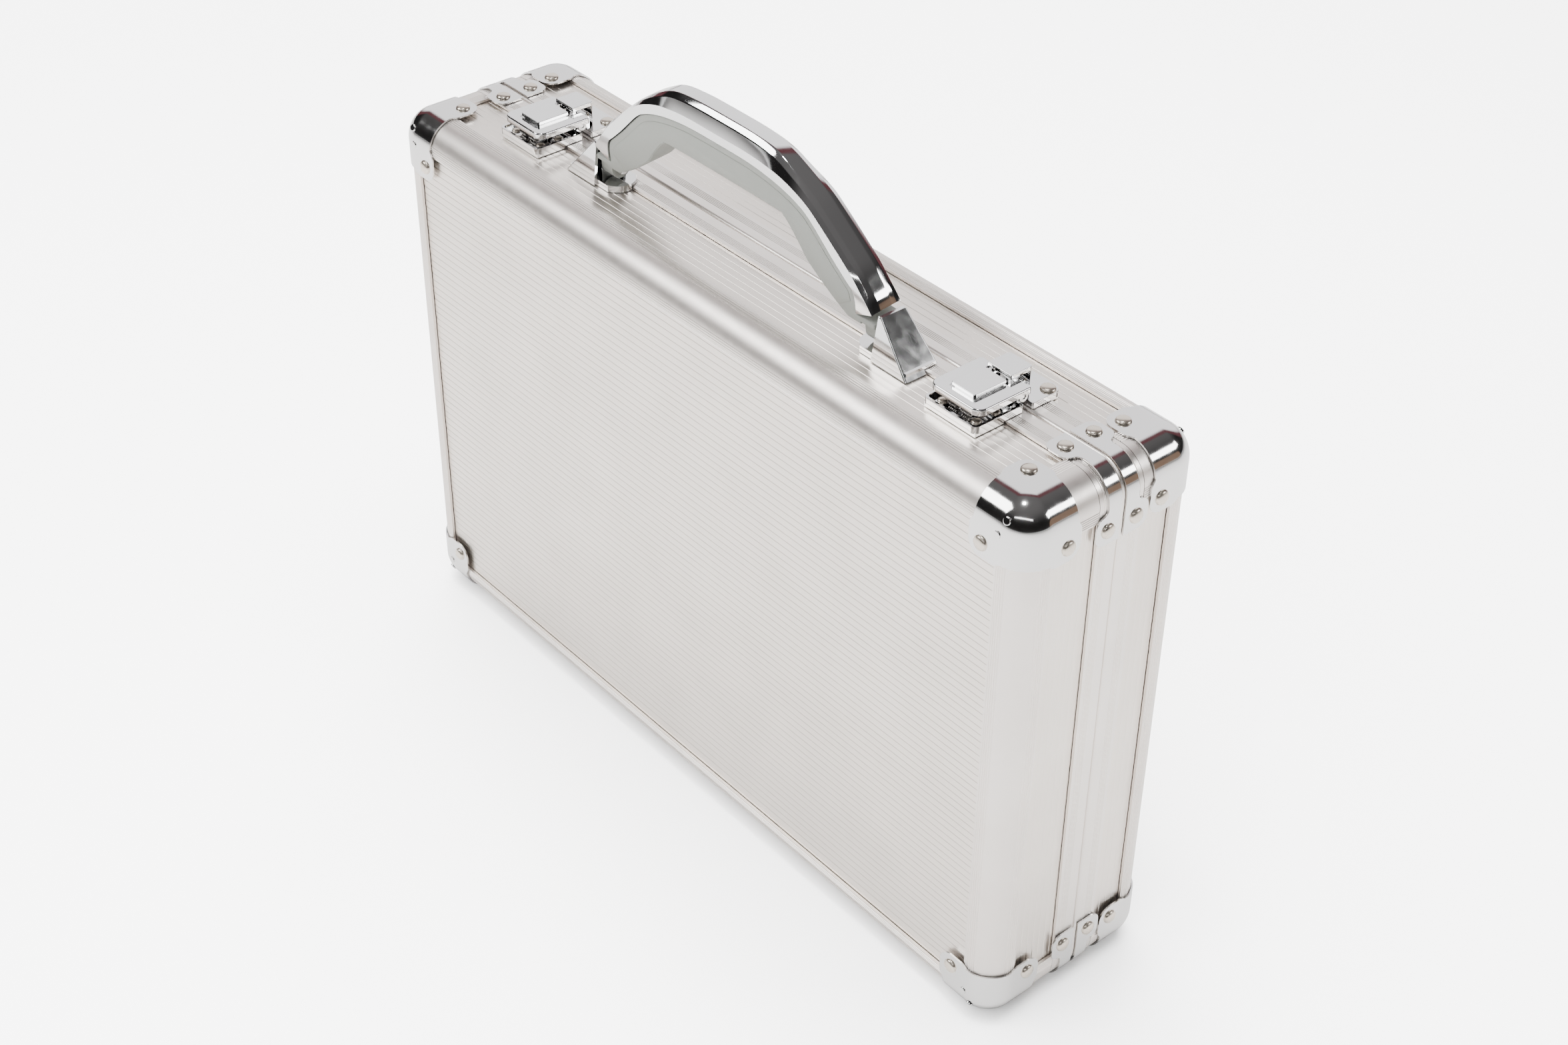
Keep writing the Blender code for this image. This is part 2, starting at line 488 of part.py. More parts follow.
# the back of the shell is raised over the middle and nearly flush with its edge down the legs
LIFT = (1.0, 1.0, 0.9, 0.5, 0.25, 0.2, 0.18, 0.18, 0.18, 0.18, 0.18)
crown = [(xb + k * (xc - xb), zb + k * (zc - zb)) for (xb, zb), (xc, zc), k in zip(band, crown, LIFT)]
under = [(0, 33.7), (33.0, 33.5), (37.2, 32.4), (39.8, 30.5), (45.7, 23.7), (50.5, 17.8), (60.1, 10.7), (70.0, 4.6),
         (73.0, 3.6), (79.9, 3.6)]


def both(pts):
    return [(-x, z) for x, z in reversed(pts[1:])] + list(pts)


bm = bmesh.new()
rows = []
for (xl, zl), (xu, zu), (xc, zc) in zip(both(low), both(band), both(crown)):
    sec = []
    mx, mz = xc * 0.72 + xu * 0.28, zc * 0.72 + zu * 0.28
    for y, x, z in ((-HND_HW, xl, zl + 0.15), (-HND_HW, xu, zu), (-5.2, mx, mz), (-3.2, xc, zc), (3.2, xc, zc),
                    (5.2, mx, mz), (HND_HW, xu, zu), (HND_HW, xl, zl + 0.15)):
        sec.append(bm.verts.new((x, HND_Y + y, HND_Z + z)))
    rows.append(sec)
for r1, r2 in zip(rows, rows[1:]):
    for i in range(8):
        bm.faces.new((r1[i], r1[(i + 1) % 8], r2[(i + 1) % 8], r2[i]))
bm.faces.new(rows[0])
bm.faces.new(rows[-1])
OH = (0, HND_Y, HND_Z)
shell = obj_from_bm(bm, "shell", OH)
finish(shell, "handle_shell", M_CHROME, 32)

core_low = [(x if z > 20 else x - 0.3, z - 0.2) for x, z in low]
tongue = [(87.3, 7.3 - 0.3), (87.3, 0.0), (79.9, 0.0)]
outline = [(HND_Z * 0 + x, HND_Z + z) for x, z in
           both(core_low + [(77.7, 7.3 - 0.3)] + tongue)]
outline += [(x, HND_Z + z) for x, z in reversed(both(under))]
grip = prism("grip", outline, "Y", HND_Y - GRIP_HW, HND_Y + GRIP_HW, OH)
bevel(grip, 1.2, 2, angle=60)
for sx in (-1, 1):
    # slim the two ends to tongues that turn on the pins
    for sy in (-1, 1):
        boolean(grip, box("slim", sx * 79.5, sx * 95.0, HND_Y + sy * 4.7, HND_Y + sy * 12, HND_Z - 8, HND_Z + 4.8, OH))
    boolean(grip, rod("eye", "X", (sx * 83.6, HND_Y, HND_Z), 4.7, 4.7, 7.4, 28, OH), "UNION")
    boolean(grip, rod("bore", "X", (sx * 83.6, HND_Y, HND_Z), PIN_R + 0.3, PIN_R + 0.3, 12.0, 24, OH))
bake(grip)
finish(grip, "handle_grip", M_GRIP, 40)
for o in (shell, grip):
    o.rotation_euler = (math.radians(HND_TILT), 0, 0)

# ---- underside hinge: two leaves with interleaved knuckles on one pin -------------------------------------------
OHG = (0, YP, HG_Z)
span = 2 * HG_HALF / KNUCKLES
for nm, s, first in (("hinge_leaf_base", -1, 0), ("hinge_leaf_lid", 1, 1)):
    zt = HG_Z - 0.35
    leaf = box("leaf", -HG_HALF, HG_HALF, YP + s * 1.15, YP + s * LEAF_W, HG_Z - BARREL_R + 0.02, zt, OHG)
    for k in range(first, KNUCKLES, 2):
        x0, x1 = -HG_HALF + k * span + 0.25, -HG_HALF + (k + 1) * span - 0.25
        boolean(leaf, box("tab", x0, x1, YP + s * 0.2, YP + s * 1.4, HG_Z - BARREL_R + 0.02, zt, OHG), "UNION")
        boolean(leaf, rod("knuckle", "X", ((x0 + x1) / 2, YP, HG_Z), BARREL_R, BARREL_R, x1 - x0, 20, OHG), "UNION")
    boolean(leaf, rod("bore", "X", (0, YP, HG_Z), HOLE_R, HOLE_R, 2 * HG_HALF + 10, 16, OHG))
    bake(leaf)
    finish(leaf, nm, M_STEEL, 35)
hpin = rod("pin", "X", (0, YP, HG_Z), HPIN_R, HPIN_R, 2 * HG_HALF + 2.0, 16, OHG)
finish(hpin, "hinge_pin", M_STEEL, 40)

# stand everything on the floor plane
for o in PARTS.objects:
    o.location.z += STAND * MM
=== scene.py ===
"""Looks of the attache case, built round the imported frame. Numbers are millimetres unless said otherwise."""
import json
import math
import bpy
import bmesh
from mathutils import Vector, Matrix

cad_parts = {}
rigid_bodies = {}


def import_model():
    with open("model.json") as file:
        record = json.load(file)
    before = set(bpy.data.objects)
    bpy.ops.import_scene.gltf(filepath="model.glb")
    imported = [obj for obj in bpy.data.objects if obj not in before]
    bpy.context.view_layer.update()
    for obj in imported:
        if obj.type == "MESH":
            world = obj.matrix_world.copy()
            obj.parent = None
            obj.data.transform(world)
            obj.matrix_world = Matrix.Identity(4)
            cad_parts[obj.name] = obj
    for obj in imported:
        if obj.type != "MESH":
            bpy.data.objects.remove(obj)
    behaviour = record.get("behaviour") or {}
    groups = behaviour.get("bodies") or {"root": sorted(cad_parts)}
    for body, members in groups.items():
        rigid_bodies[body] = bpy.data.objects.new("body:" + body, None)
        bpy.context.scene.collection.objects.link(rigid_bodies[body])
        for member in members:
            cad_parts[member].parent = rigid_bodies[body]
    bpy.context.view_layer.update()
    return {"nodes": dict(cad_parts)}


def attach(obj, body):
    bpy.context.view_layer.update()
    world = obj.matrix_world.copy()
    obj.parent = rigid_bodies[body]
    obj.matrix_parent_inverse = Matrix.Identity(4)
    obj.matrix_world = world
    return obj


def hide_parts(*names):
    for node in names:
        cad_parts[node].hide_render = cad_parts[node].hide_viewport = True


for o in list(bpy.data.objects):
    bpy.data.objects.remove(o, do_unlink=True)
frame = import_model()


MM = 0.001
STAND = 1.6
W, D, H = 400.0, 92.0, 260.0
YP = 3.5
R0 = 14.0
IN_FRAME, T_FRAME = 1.0, 1.2
IN_PANEL = 2.5
LIP = 15.5
BASE_RIM_Y, LID_RIM_Y = -8.0, 14.5
T_SHEET = 0.7
CORNER, LOBE = 22.0, 6.0
CLIP_AT = 24.0
LATCH_X = 136.0
BASE_Y0, BASE_Y1 = -23.7, 0.8
ZR = H - IN_FRAME + 0.3
ZPN = H - IN_PANEL + 0.3
Z_TUB = 262.4
PIV_Y, PIV_Z = 1.0, 265.4
CLAW_Y, CLAW_Z = -4.0, 264.3
LEVER_HW, LEVER_Y0, LEVER_Y1, Z_LEVER = 13.5, -21.8, 5.2, 268.2
PAD_HW, Z_PAD, Z_CLAW = 6.3, 270.0, 270.8
HND_Y, HND_Z, HND_HW, GRIP_HW, HND_TILT = -9.8, 266.8, 7.3, 7.0, 5.5
PIN_R = 1.6
CORNERS = (("top_right", 1, 1), ("top_left", -1, 1), ("bottom_right", 1, -1), ("bottom_left", -1, -1))
HALVES = (("base", -1), ("lid", 1))


# =============================================================================== materials
def nodes_of(name):
    m = bpy.data.materials.new(name)
    m.use_nodes = True
    nt = m.node_tree
    b = nt.nodes["Principled BSDF"]
    return m, nt, b


def add(nt, kind, **sockets):
    n = nt.nodes.new(kind)
    for k, v in sockets.items():
        if k in n.inputs:
            n.inputs[k].default_value = v
        else:
            setattr(n, k, v)
    return n


def noise(nt, scale_xyz, scale, detail=3.0, rough=0.5):
    """object-space noise, stretched by its three scale factors"""
    tc = nt.nodes.new("ShaderNodeTexCoord")
    mp = nt.nodes.new("ShaderNodeMapping")
    mp.inputs["Scale"].default_value = scale_xyz
    nt.links.new(tc.outputs["Object"], mp.inputs["Vector"])
    nz = nt.nodes.new("ShaderNodeTexNoise")
    nz.inputs["Scale"].default_value = scale
    nz.inputs["Detail"].default_value = detail
    nz.inputs["Roughness"].default_value = rough
    nt.links.new(mp.outputs["Vector"], nz.inputs["Vector"])
    return nz


def remap(nt, src, a0, a1, b0, b1):
    r = nt.nodes.new("ShaderNodeMapRange")
    r.inputs["From Min"].default_value = a0
    r.inputs["From Max"].default_value = a1
    r.inputs["To Min"].default_value = b0
    r.inputs["To Max"].default_value = b1
    nt.links.new(src, r.inputs["Value"])
    return r


def tint(nt, fac, c0, c1):
    mx = nt.nodes.new("ShaderNodeMix")
    mx.data_type = "RGBA"
    mx.inputs[6].default_value = (*c0, 1)
    mx.inputs[7].default_value = (*c1, 1)
    nt.links.new(fac, mx.inputs[0])
    return mx


def metal(name, rgb, rough, spread=0.05, grain=None, bump=0.0, cloud=0.04):
    """metal with cloudy tone, roughness variation and, if asked, a directional grain"""
    m, nt, b = nodes_of(name)
    b.inputs["Metallic"].default_value = 1.0
    cl = noise(nt, (1, 1, 1), 26.0, 3.0)
    dark = tuple(c * (1 - cloud) for c in rgb)
    light = tuple(min(1.0, c * (1 + cloud)) for c in rgb)
    t = tint(nt, remap(nt, cl.outputs["Fac"], 0.3, 0.7, 0, 1).outputs["Result"], dark, light)
    nt.links.new(t.outputs[2], b.inputs["Base Color"])
    if grain:
        gr = noise(nt, grain, 1.0, 2.0, 0.6)
    else:
        gr = noise(nt, (1, 1, 1), 240.0, 2.0)
    nt.links.new(remap(nt, gr.outputs["Fac"], 0.25, 0.75, rough - spread, rough + spread).outputs["Result"],
                 b.inputs["Roughness"])
    if bump > 0:
        bp = nt.nodes.new("ShaderNodeBump")
        bp.inputs["Strength"].default_value = bump
        bp.inputs["Distance"].default_value = 0.0001
        nt.links.new(gr.outputs["Fac"], bp.inputs["Height"])
        nt.links.new(bp.outputs["Normal"], b.inputs["Normal"])
    return m


ALU = (0.87, 0.81, 0.75)
M_PX = metal("ribbed_alu_x", ALU, 0.36, 0.03, grain=(30, 3000, 3000), bump=0.03)
M_PZ = metal("ribbed_alu_z", ALU, 0.36, 0.03, grain=(3000, 3000, 30), bump=0.03)
M_FRAME = metal("satin_alu", (0.88, 0.825, 0.78), 0.40, 0.02)
M_RIM = metal("rim_alu", (0.88, 0.83, 0.785), 0.34, 0.02)
M_CHROME = metal("bright_plate", (0.80, 0.80, 0.80), 0.075, 0.02, cloud=0.015)
M_CORNER = metal("corner_plate", (0.78, 0.775, 0.77), 0.105, 0.03, cloud=0.02)
M_RIVET = metal("rivet_nickel", (0.74, 0.67, 0.58), 0.30, 0.05, cloud=0.08)
M_STEEL = metal("hinge_steel_look", (0.56, 0.56, 0.57), 0.30, 0.06)
M_SPRING = metal("spring_steel", (0.42, 0.40, 0.38), 0.28, 0.05)


def plastic(name, rgb, rough, bump):
    m, nt, b = nodes_of(name)
    nz = noise(nt, (1, 1, 1), 900.0, 3.0)
    cl = noise(nt, (1, 1, 1), 22.0, 2.0)
    t = tint(nt, cl.outputs["Fac"], tuple(c * 0.95 for c in rgb), tuple(min(1, c * 1.05) for c in rgb))
    nt.links.new(t.outputs[2], b.inputs["Base Color"])
    nt.links.new(remap(nt, nz.outputs["Fac"], 0.3, 0.7, rough - 0.04, rough + 0.04).outputs["Result"],
                 b.inputs["Roughness"])
    bp = nt.nodes.new("ShaderNodeBump")
    bp.inputs["Strength"].default_value = bump
    bp.inputs["Distance"].default_value = 0.0001
    nt.links.new(nz.outputs["Fac"], bp.inputs["Height"])
    nt.links.new(bp.outputs["Normal"], b.inputs["Normal"])
    return m


M_GRIP = plastic("grip_grey", (0.36, 0.375, 0.345), 0.48, 0.35)


def felt(name, rgb):
    m, nt, b = nodes_of(name)
    b.inputs["Roughness"].default_value = 0.95
    b.inputs["Sheen Weight"].default_value = 0.35
    b.inputs["Sheen Roughness"].default_value = 0.5
    nz = noise(nt, (1, 1, 1), 1500.0, 4.0, 0.7)
    t = tint(nt, nz.outputs["Fac"], tuple(c * 0.55 for c in rgb), tuple(c * 1.5 for c in rgb))
    nt.links.new(t.outputs[2], b.inputs["Base Color"])
    bp = nt.nodes.new("ShaderNodeBump")
    bp.inputs["Strength"].default_value = 0.6
    bp.inputs["Distance"].default_value = 0.0004
    nt.links.new(nz.outputs["Fac"], bp.inputs["Height"])
    nt.links.new(bp.outputs["Normal"], b.inputs["Normal"])
    return m


M_FELT = felt("lining_felt", (0.050, 0.050, 0.056))


# =============================================================================== geometry helpers
def to_obj(bm, name):
    bmesh.ops.remove_doubles(bm, verts=bm.verts, dist=1e-4)
    bmesh.ops.recalc_face_normals(bm, faces=bm.faces)
    if bm.calc_volume(signed=True) < 0:
        bmesh.ops.reverse_faces(bm, faces=bm.faces)
    for v in bm.verts:
        v.co = (v.co + Vector((0, 0, STAND))) * MM
    me = bpy.data.meshes.new(name)
    bm.to_mesh(me)
    bm.free()
    ob = bpy.data.objects.new(name, me)
    bpy.context.scene.collection.objects.link(ob)
    return ob


def box(name, x0, x1, y0, y1, z0, z1):
    bm = bmesh.new()
    bmesh.ops.create_cube(bm, size=1.0)
    for v in bm.verts:
        v.co = Vector(((x0 + x1) / 2 + v.co.x * (x1 - x0), (y0 + y1) / 2 + v.co.y * (y1 - y0),
                       (z0 + z1) / 2 + v.co.z * (z1 - z0)))
    return to_obj(bm, name)


def rod(name, axis, centre, r1, r2, length, seg=32):
    bm = bmesh.new()
    bmesh.ops.create_cone(bm, cap_ends=True, segments=seg, radius1=r1, radius2=r2, depth=length)
    for v in bm.verts:
        x, y, z = v.co
        if axis == "X":
            v.co = Vector((z, x, y))
        elif axis == "Y":
            v.co = Vector((y, z, x))
        v.co += Vector(centre)
    return to_obj(bm, name)


def prism(name, outline, axis, a0, a1):
    bm = bmesh.new()
    place = {"Y": lambda u, v, a: (u, a, v), "X": lambda u, v, a: (a, u, v), "Z": lambda u, v, a: (u, v, a)}[axis]
    vs = [bm.verts.new(place(u, v, a0)) for u, v in outline]
    f = bm.faces.new(vs)
    ext = bmesh.ops.extrude_face_region(bm, geom=[f])
    d = Vector(place(0, 0, a1 - a0))
    for g in ext["geom"]:
        if isinstance(g, bmesh.types.BMVert):
            g.co += d
    return to_obj(bm, name)


def arc(cx, cy, r, a0, a1, n):
    return [(cx + r * math.cos(math.radians(a0 + (a1 - a0) * i / n)),
             cy + r * math.sin(math.radians(a0 + (a1 - a0) * i / n))) for i in range(n + 1)]


def rounded(pts, n=6):
    """polygon with a radius at each corner: (x, y, r)"""
    out = []
    k = len(pts)
    for i, (x, y, r) in enumerate(pts):
        if r <= 0:
            out.append((x, y))
            continue
        p = Vector((x, y))
        a = (Vector(pts[i - 1][:2]) - p).normalized()
        b = (Vector(pts[(i + 1) % k][:2]) - p).normalized()
        ang = a.angle(b)
        t = r / math.tan(ang / 2)
        c = p + (a + b).normalized() * (r / math.sin(ang / 2))
        s, e = p + a * t - c, p + b * t - c
        a0 = math.atan2(s.y, s.x)
        d = math.atan2(e.y, e.x) - a0
        while d > math.pi:
            d -= 2 * math.pi
        while d < -math.pi:
            d += 2 * math.pi
        out += [(c.x + r * math.cos(a0 + d * j / n), c.y + r * math.sin(a0 + d * j / n)) for j in range(n + 1)]
    return out


def boolean(ob, cutter, op="DIFFERENCE"):
    m = ob.modifiers.new(op, "BOOLEAN")
    m.operation = op
    m.solver = "EXACT"
    m.object = cutter
    cutter.hide_render = True
    return ob


def bevel(ob, width, seg=2, angle=35.0, pick=None):
    m = ob.modifiers.new("bevel", "BEVEL")
    m.width = width * MM
    m.segments = seg
    m.use_clamp_overlap = True
    m.harden_normals = False
    if pick is None:
        m.limit_method = "ANGLE"
        m.angle_limit = math.radians(angle)
    else:
        m.limit_method = "WEIGHT"
        me = ob.data
        at = me.attributes.get("bevel_weight_edge") or me.attributes.new("bevel_weight_edge", "FLOAT", "EDGE")
        up = Vector((0, 0, STAND))
        for e in me.edges:
            p, q = me.vertices[e.vertices[0]].co, me.vertices[e.vertices[1]].co
            at.data[e.index].value = 1.0 if pick((p + q) / 2 / MM - up, (p - q).normalized()) else 0.0
    return ob


def bake(ob):
    used = [m.object for m in ob.modifiers if m.type == "BOOLEAN"]
    bpy.context.view_layer.update()
    dg = bpy.context.evaluated_depsgraph_get()
    me = bpy.data.meshes.new_from_object(ob.evaluated_get(dg))
    ob.modifiers.clear()
    ob.data = me
    for c in used:
        bpy.data.objects.remove(c, do_unlink=True)
    return ob


def tidy(ob, dist=0.02):
    """merge the slivers a Boolean leaves"""
    bm = bmesh.new()
    bm.from_mesh(ob.data)
    bmesh.ops.remove_doubles(bm, verts=bm.verts, dist=dist * MM)
    bmesh.ops.dissolve_degenerate(bm, edges=bm.edges, dist=dist * MM * 0.5)
    bm.to_mesh(ob.data)
    bm.free()
    return ob


def smooth(me, angle=35):
    for p in me.polygons:
        p.use_smooth = True
    me.set_sharp_from_angle(angle=math.radians(angle))


PIECES = []


def show(ob, name, mat, body, angle=35, nodes=(), weighted=False):
    ob.name = name
    ob.data.name = name
    ob.data.materials.clear()
    ob.data.materials.append(mat)
    if angle is not None:
        smooth(ob.data, angle)
    if weighted:
        w = ob.modifiers.new("weighted", "WEIGHTED_NORMAL")
        w.keep_sharp = True
        w.weight = 60
    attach(ob, body)
    if nodes:
        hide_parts(*nodes)
    PIECES.append(ob)
    return ob


def twin(ob, name, shift=(0, 0, 0), flip=(1, 1, 1), about=(0, 0, 0)):
    """a copy moved by shift, or mirrored about a point, with its faces kept outward"""
    me = ob.data.copy()
    a = (Vector(about) + Vector((0, 0, STAND))) * MM
    m = Matrix.Translation(Vector(shift) * MM) @ Matrix.Translation(a) @ Matrix.Diagonal((*flip, 1)) @ \
        Matrix.Translation(-a)
    me.transform(m)
    if flip[0] * flip[1] * flip[2] < 0:
        me.flip_normals()
    c = bpy.data.objects.new(name, me)
    bpy.context.scene.collection.objects.link(c)
    return c


def shaped_normals(ob, fn, keep=0.93):
    """set normals from the ideal rounded form, and blend the thin edge faces between their sides"""
    me = ob.data
    for p in me.polygons:
        p.use_smooth = True
    side = {}
    ideal = {}
    kinds = []
    for p in me.polygons:
        c = p.center / MM - Vector((0, 0, STAND))
        n = fn(c)
        d = n.dot(p.normal)
        kinds.append(1 if d > keep else (-1 if d < -keep else 0))
        if kinds[-1]:
            for v in p.vertices:
                side.setdefault(v, kinds[-1])
    for v in me.vertices:
        ideal[v.index] = fn(v.co / MM - Vector((0, 0, STAND)))
    loose = {}
    for p, k in zip(me.polygons, kinds):
        if k == 0:
            for v in p.vertices:
                loose.setdefault(v, Vector())
                loose[v] += p.normal * max(p.area, 1e-12)
    out = [None] * len(me.loops)
    for p, k in zip(me.polygons, kinds):
        for li in p.loop_indices:
            v = me.loops[li].vertex_index
            if k:
                out[li] = ideal[v] * k
            elif v in side:
                out[li] = ideal[v] * side[v]
                if out[li].dot(p.normal) < 0.2:
                    out[li] = p.normal.copy()
            else:
                out[li] = loose[v].normalized()
    me.normals_split_custom_set([tuple(n) for n in out])
    return ob


def case_normal(p):
    """outward direction of the rounded case at a point"""
    q = Vector((p.x, p.y, p.z - H / 2))
    c = Vector((max(-(W / 2 - R0), min(W / 2 - R0, q.x)), max(-(D / 2 - R0), min(D / 2 - R0, q.y)),
                max(-(H / 2 - R0), min(H / 2 - R0, q.z))))
    d = q - c
    return d.normalized() if d.length > 1e-6 else Vector((0, 0, 1))


def side_normal(p):
    """the same without the rounding towards the broad faces"""
    q = Vector((p.x, 0, p.z - H / 2))
    c = Vector((max(-(W / 2 - R0), min(W / 2 - R0, q.x)), 0, max(-(H / 2 - R0), min(H / 2 - R0, q.z))))
    d = q - c
    return d.normalized() if d.length > 1e-6 else Vector((0, 0, 1))


def ring_points(inset, seg):
    a, b = W / 2 - inset, H / 2 - inset
    r = max(R0 - inset, 0.4)
    pts = []
    for k, (sx, sz) in enumerate([(1, 1), (-1, 1), (-1, -1), (1, -1)]):
        for i in range(seg + 1):
            t = math.radians(90 * k + 90.0 * i / seg)
            pts.append((sx * (a - r) + r * math.cos(t), H / 2 + sz * (b - r) + r * math.sin(t)))
    return pts


def ring_loft(name, loops, closed, seg=12):
    bm = bmesh.new()
    rows = [[bm.verts.new((x, y, z)) for x, z in ring_points(d, seg)] for d, y in loops]
    n = len(rows[0])
    pairs = list(zip(rows, rows[1:])) + ([(rows[-1], rows[0])] if closed else [])
    for r1, r2 in pairs:
        for i in range(n):
            bm.faces.new((r1[i], r1[(i + 1) % n], r2[(i + 1) % n], r2[i]))
    if not closed:
        bm.faces.new(rows[0])
        bm.faces.new(rows[-1])
    return to_obj(bm, name)


def grooved(line, grooves, depth, width):
    """displace an open outline inwards at the stated distances along it; returns the new outline"""
    pts = [Vector(p) for p in line]
    acc = [0.0]
    for a, b in zip(pts, pts[1:]):
        acc.append(acc[-1] + (b - a).length)
    marks = set()
    for g in grooves:
        for o, h in ((-0.5, 0), (-0.22, 1), (0.22, 1), (0.5, 0)):
            marks.add((round(g + o * width, 5), h))
    s_all = sorted([(s, 0, i) for i, s in enumerate(acc)] + [(s, h, None) for s, h in marks], key=lambda q: q[0])
    out = []
    for s, h, i in s_all:
        if i is not None and any(abs(s - g) < width * 0.5 for g in grooves):
            continue
        k = max(j for j in range(len(acc)) if acc[j] <= s + 1e-9)
        k = min(k, len(pts) - 2)
        t = (s - acc[k]) / max(acc[k + 1] - acc[k], 1e-9)
        p = pts[k].lerp(pts[k + 1], t)
        d = (pts[k + 1] - pts[k]).normalized()
        n = Vector((-d.y, d.x))
        out.append(tuple(p - n * (depth * h)))
    return out


def lip_profile(reach):
    """outer and inner line of the rolled edge: side plane, quarter round, broad plane; reach is where a lip ends"""
    c, ro, ri = R0, R0 - IN_FRAME, R0 - IN_FRAME - T_FRAME
    lo = IN_FRAME
    outer = [(lo, reach), (lo, R0)] + [(c - ro * math.cos(math.radians(t)), c - ro * math.sin(math.radians(t)))
                                       for t in range(6, 90, 6)] + [(R0, lo), (reach, lo)]
    # walk from the side lip's end to the broad lip's end, material on the right
    total = (reach - R0) * 2 + math.pi * ro / 2
    at = [0.9, 1.9, 2.9, 3.9, 4.9]
    outer = grooved(outer, at + [total - a for a in at], 0.22, 0.55)
    inner = [(reach, lo + T_FRAME), (R0, lo + T_FRAME)] + \
            [(c - ri * math.cos(math.radians(t)), c - ri * math.sin(math.radians(t))) for t in range(82, 0, -8)] + \
            [(lo + T_FRAME, R0), (lo + T_FRAME, reach)]
    return outer + inner


# =============================================================================== ribbed panels
def rib_profile(length, depth_in, pitch=3.45, groove=0.50, deep=0.11, crown=0.018):
    """closed outline (u along the sheet, v outwards, v = 0 on the lands) of a grooved sheet"""
    n = int(round(length / pitch))
    p = length / n
    pts = [(0.0, -0.05)]
    for i in range(n):
        a, b = i * p, (i + 1) * p
        a += groove / 2 if i else 0.1
        b -= groove / 2 if i < n - 1 else 0.1
        m = (a + b) / 2
        for t in (0.0, 0.12, 0.3, 0.5, 0.7, 0.88, 1.0):
            u = a + (b - a) * t
            pts.append((u, -crown * ((u - m) / ((b - a) / 2)) ** 2))
        if i < n - 1:
            c = (i + 1) * p
            pts.append((c - 0.10, -deep))
            pts.append((c + 0.10, -deep))
    pts.append((length, -0.05))
    return pts + [(length, -depth_in), (0.0, -depth_in)]


PX, PZ0, PZ1 = W / 2 - R0, R0, H - R0
for pre, s in HALVES:
    # broad face: ribs run across, profile in (z, y)
    yo = s * (D / 2 - IN_PANEL)
    out = [(yo + s * v, PZ0 + u) for u, v in rib_profile(PZ1 - PZ0, 2.4)]
    nm = pre + ("_panel_front" if s < 0 else "_panel_back")
    show(prism(nm, out, "X", -PX, PX), "look_" + nm, M_PX, pre, 20, [nm])
    # the four narrow faces
    ya, yb = sorted((s * 33.0, -6.0 if s < 0 else 12.5))
    prof = rib_profile(yb - ya, 1.6, 3.2, 0.55, 0.16, 0.03)
    for nm, z0, sg in ((pre + "_panel_top", H - IN_PANEL, 1), (pre + "_panel_bottom", IN_PANEL, -1)):
        show(prism(nm, [(ya + u, z0 + sg * v) for u, v in prof], "X", -PX, PX), "look_" + nm, M_PX, pre, 20, [nm])
    for nm, x0, sg in ((pre + "_panel_right", W / 2 - IN_PANEL, 1), (pre + "_panel_left", -(W / 2 - IN_PANEL), -1)):
        show(prism(nm, [(x0 + sg * v, ya + u) for u, v in prof], "Z", PZ0, PZ1), "look_" + nm, M_PZ, pre, 20, [nm])

# =============================================================================== edge frames, posts, rims, linings
for pre, s in HALVES:
    prof = lip_profile(LIP)                      # (distance in from the side plane, distance in from the broad plane)
    loops = [(a, s * (D / 2 - b)) for a, b in prof]
    fr = ring_loft("frame", loops, True, 10)
    show(fr, "look_" + pre + "_edge_frame", M_FRAME, pre, 28, [pre + "_edge_frame"])
    y0, y1 = (-30.2, -8.25) if s < 0 else (14.75, 30.2)
    post = prism("post", [(W / 2 - a, H - b) for a, b in lip_profile(LIP + 4.0)], "Y", y0, y1)
    for i, (nm, sx, sz) in enumerate(CORNERS):
        p = post if i == 3 else None
        src = twin(post, "post_" + nm, flip=(sx, 1, sz), about=(0, 0, H / 2))
        show(src, "look_%s_post_%s" % (pre, nm), M_FRAME, pre, 28, ["%s_post_%s" % (pre, nm)])
    bpy.data.objects.remove(post, do_unlink=True)


def reeds(y0, y1, n, deep=0.2, width=0.42):
    """points along the outer face of a rim, with n fine grooves between y0 and y1"""
    out = []
    for i in range(n):
        c = y0 + (y1 - y0) * (i + 0.5) / n
        out += [(0.0, c - width / 2), (deep, c - width * 0.2), (deep, c + width * 0.2), (0.0, c + width / 2)]
    return out


b0, l0 = YP - 0.15, YP + 0.15
ch = 1.5
turn = [(1 - math.cos(math.radians(t)), math.sin(math.radians(t))) for t in (15, 30, 45, 60, 75, 90)]
base_rim = [(IN_FRAME, BASE_RIM_Y)] + [(IN_FRAME + d, y) for d, y in reeds(-6.3, -2.3, 5)] + \
           [(IN_FRAME, b0 - ch)] + [(IN_FRAME + ch * a, b0 - ch + ch * b) for a, b in turn] + \
           [(3.9, b0), (3.9, YP + 3.2), (5.3, YP + 3.2), (5.3, BASE_RIM_Y + 2.3), (2.2, BASE_RIM_Y + 2.3),
            (2.2, BASE_RIM_Y)]
lid_rim = [(IN_FRAME, LID_RIM_Y)] + [(IN_FRAME + d, y) for d, y in reversed(reeds(8.6, 12.8, 5))] + \
          [(IN_FRAME, l0 + ch)] + [(IN_FRAME + ch * a, l0 + ch - ch * b) for a, b in turn] + \
          [(3.55, l0), (3.55, YP + 3.6), (5.3, YP + 3.6), (5.3, LID_RIM_Y - 2.3), (2.2, LID_RIM_Y - 2.3),
           (2.2, LID_RIM_Y)]
show(ring_loft("rim", base_rim, True, 12), "look_base_rim", M_RIM, "base", 28, ["base_rim"])
show(ring_loft("rim", lid_rim, True, 12), "look_lid_rim", M_RIM, "lid", 28, ["lid_rim"])


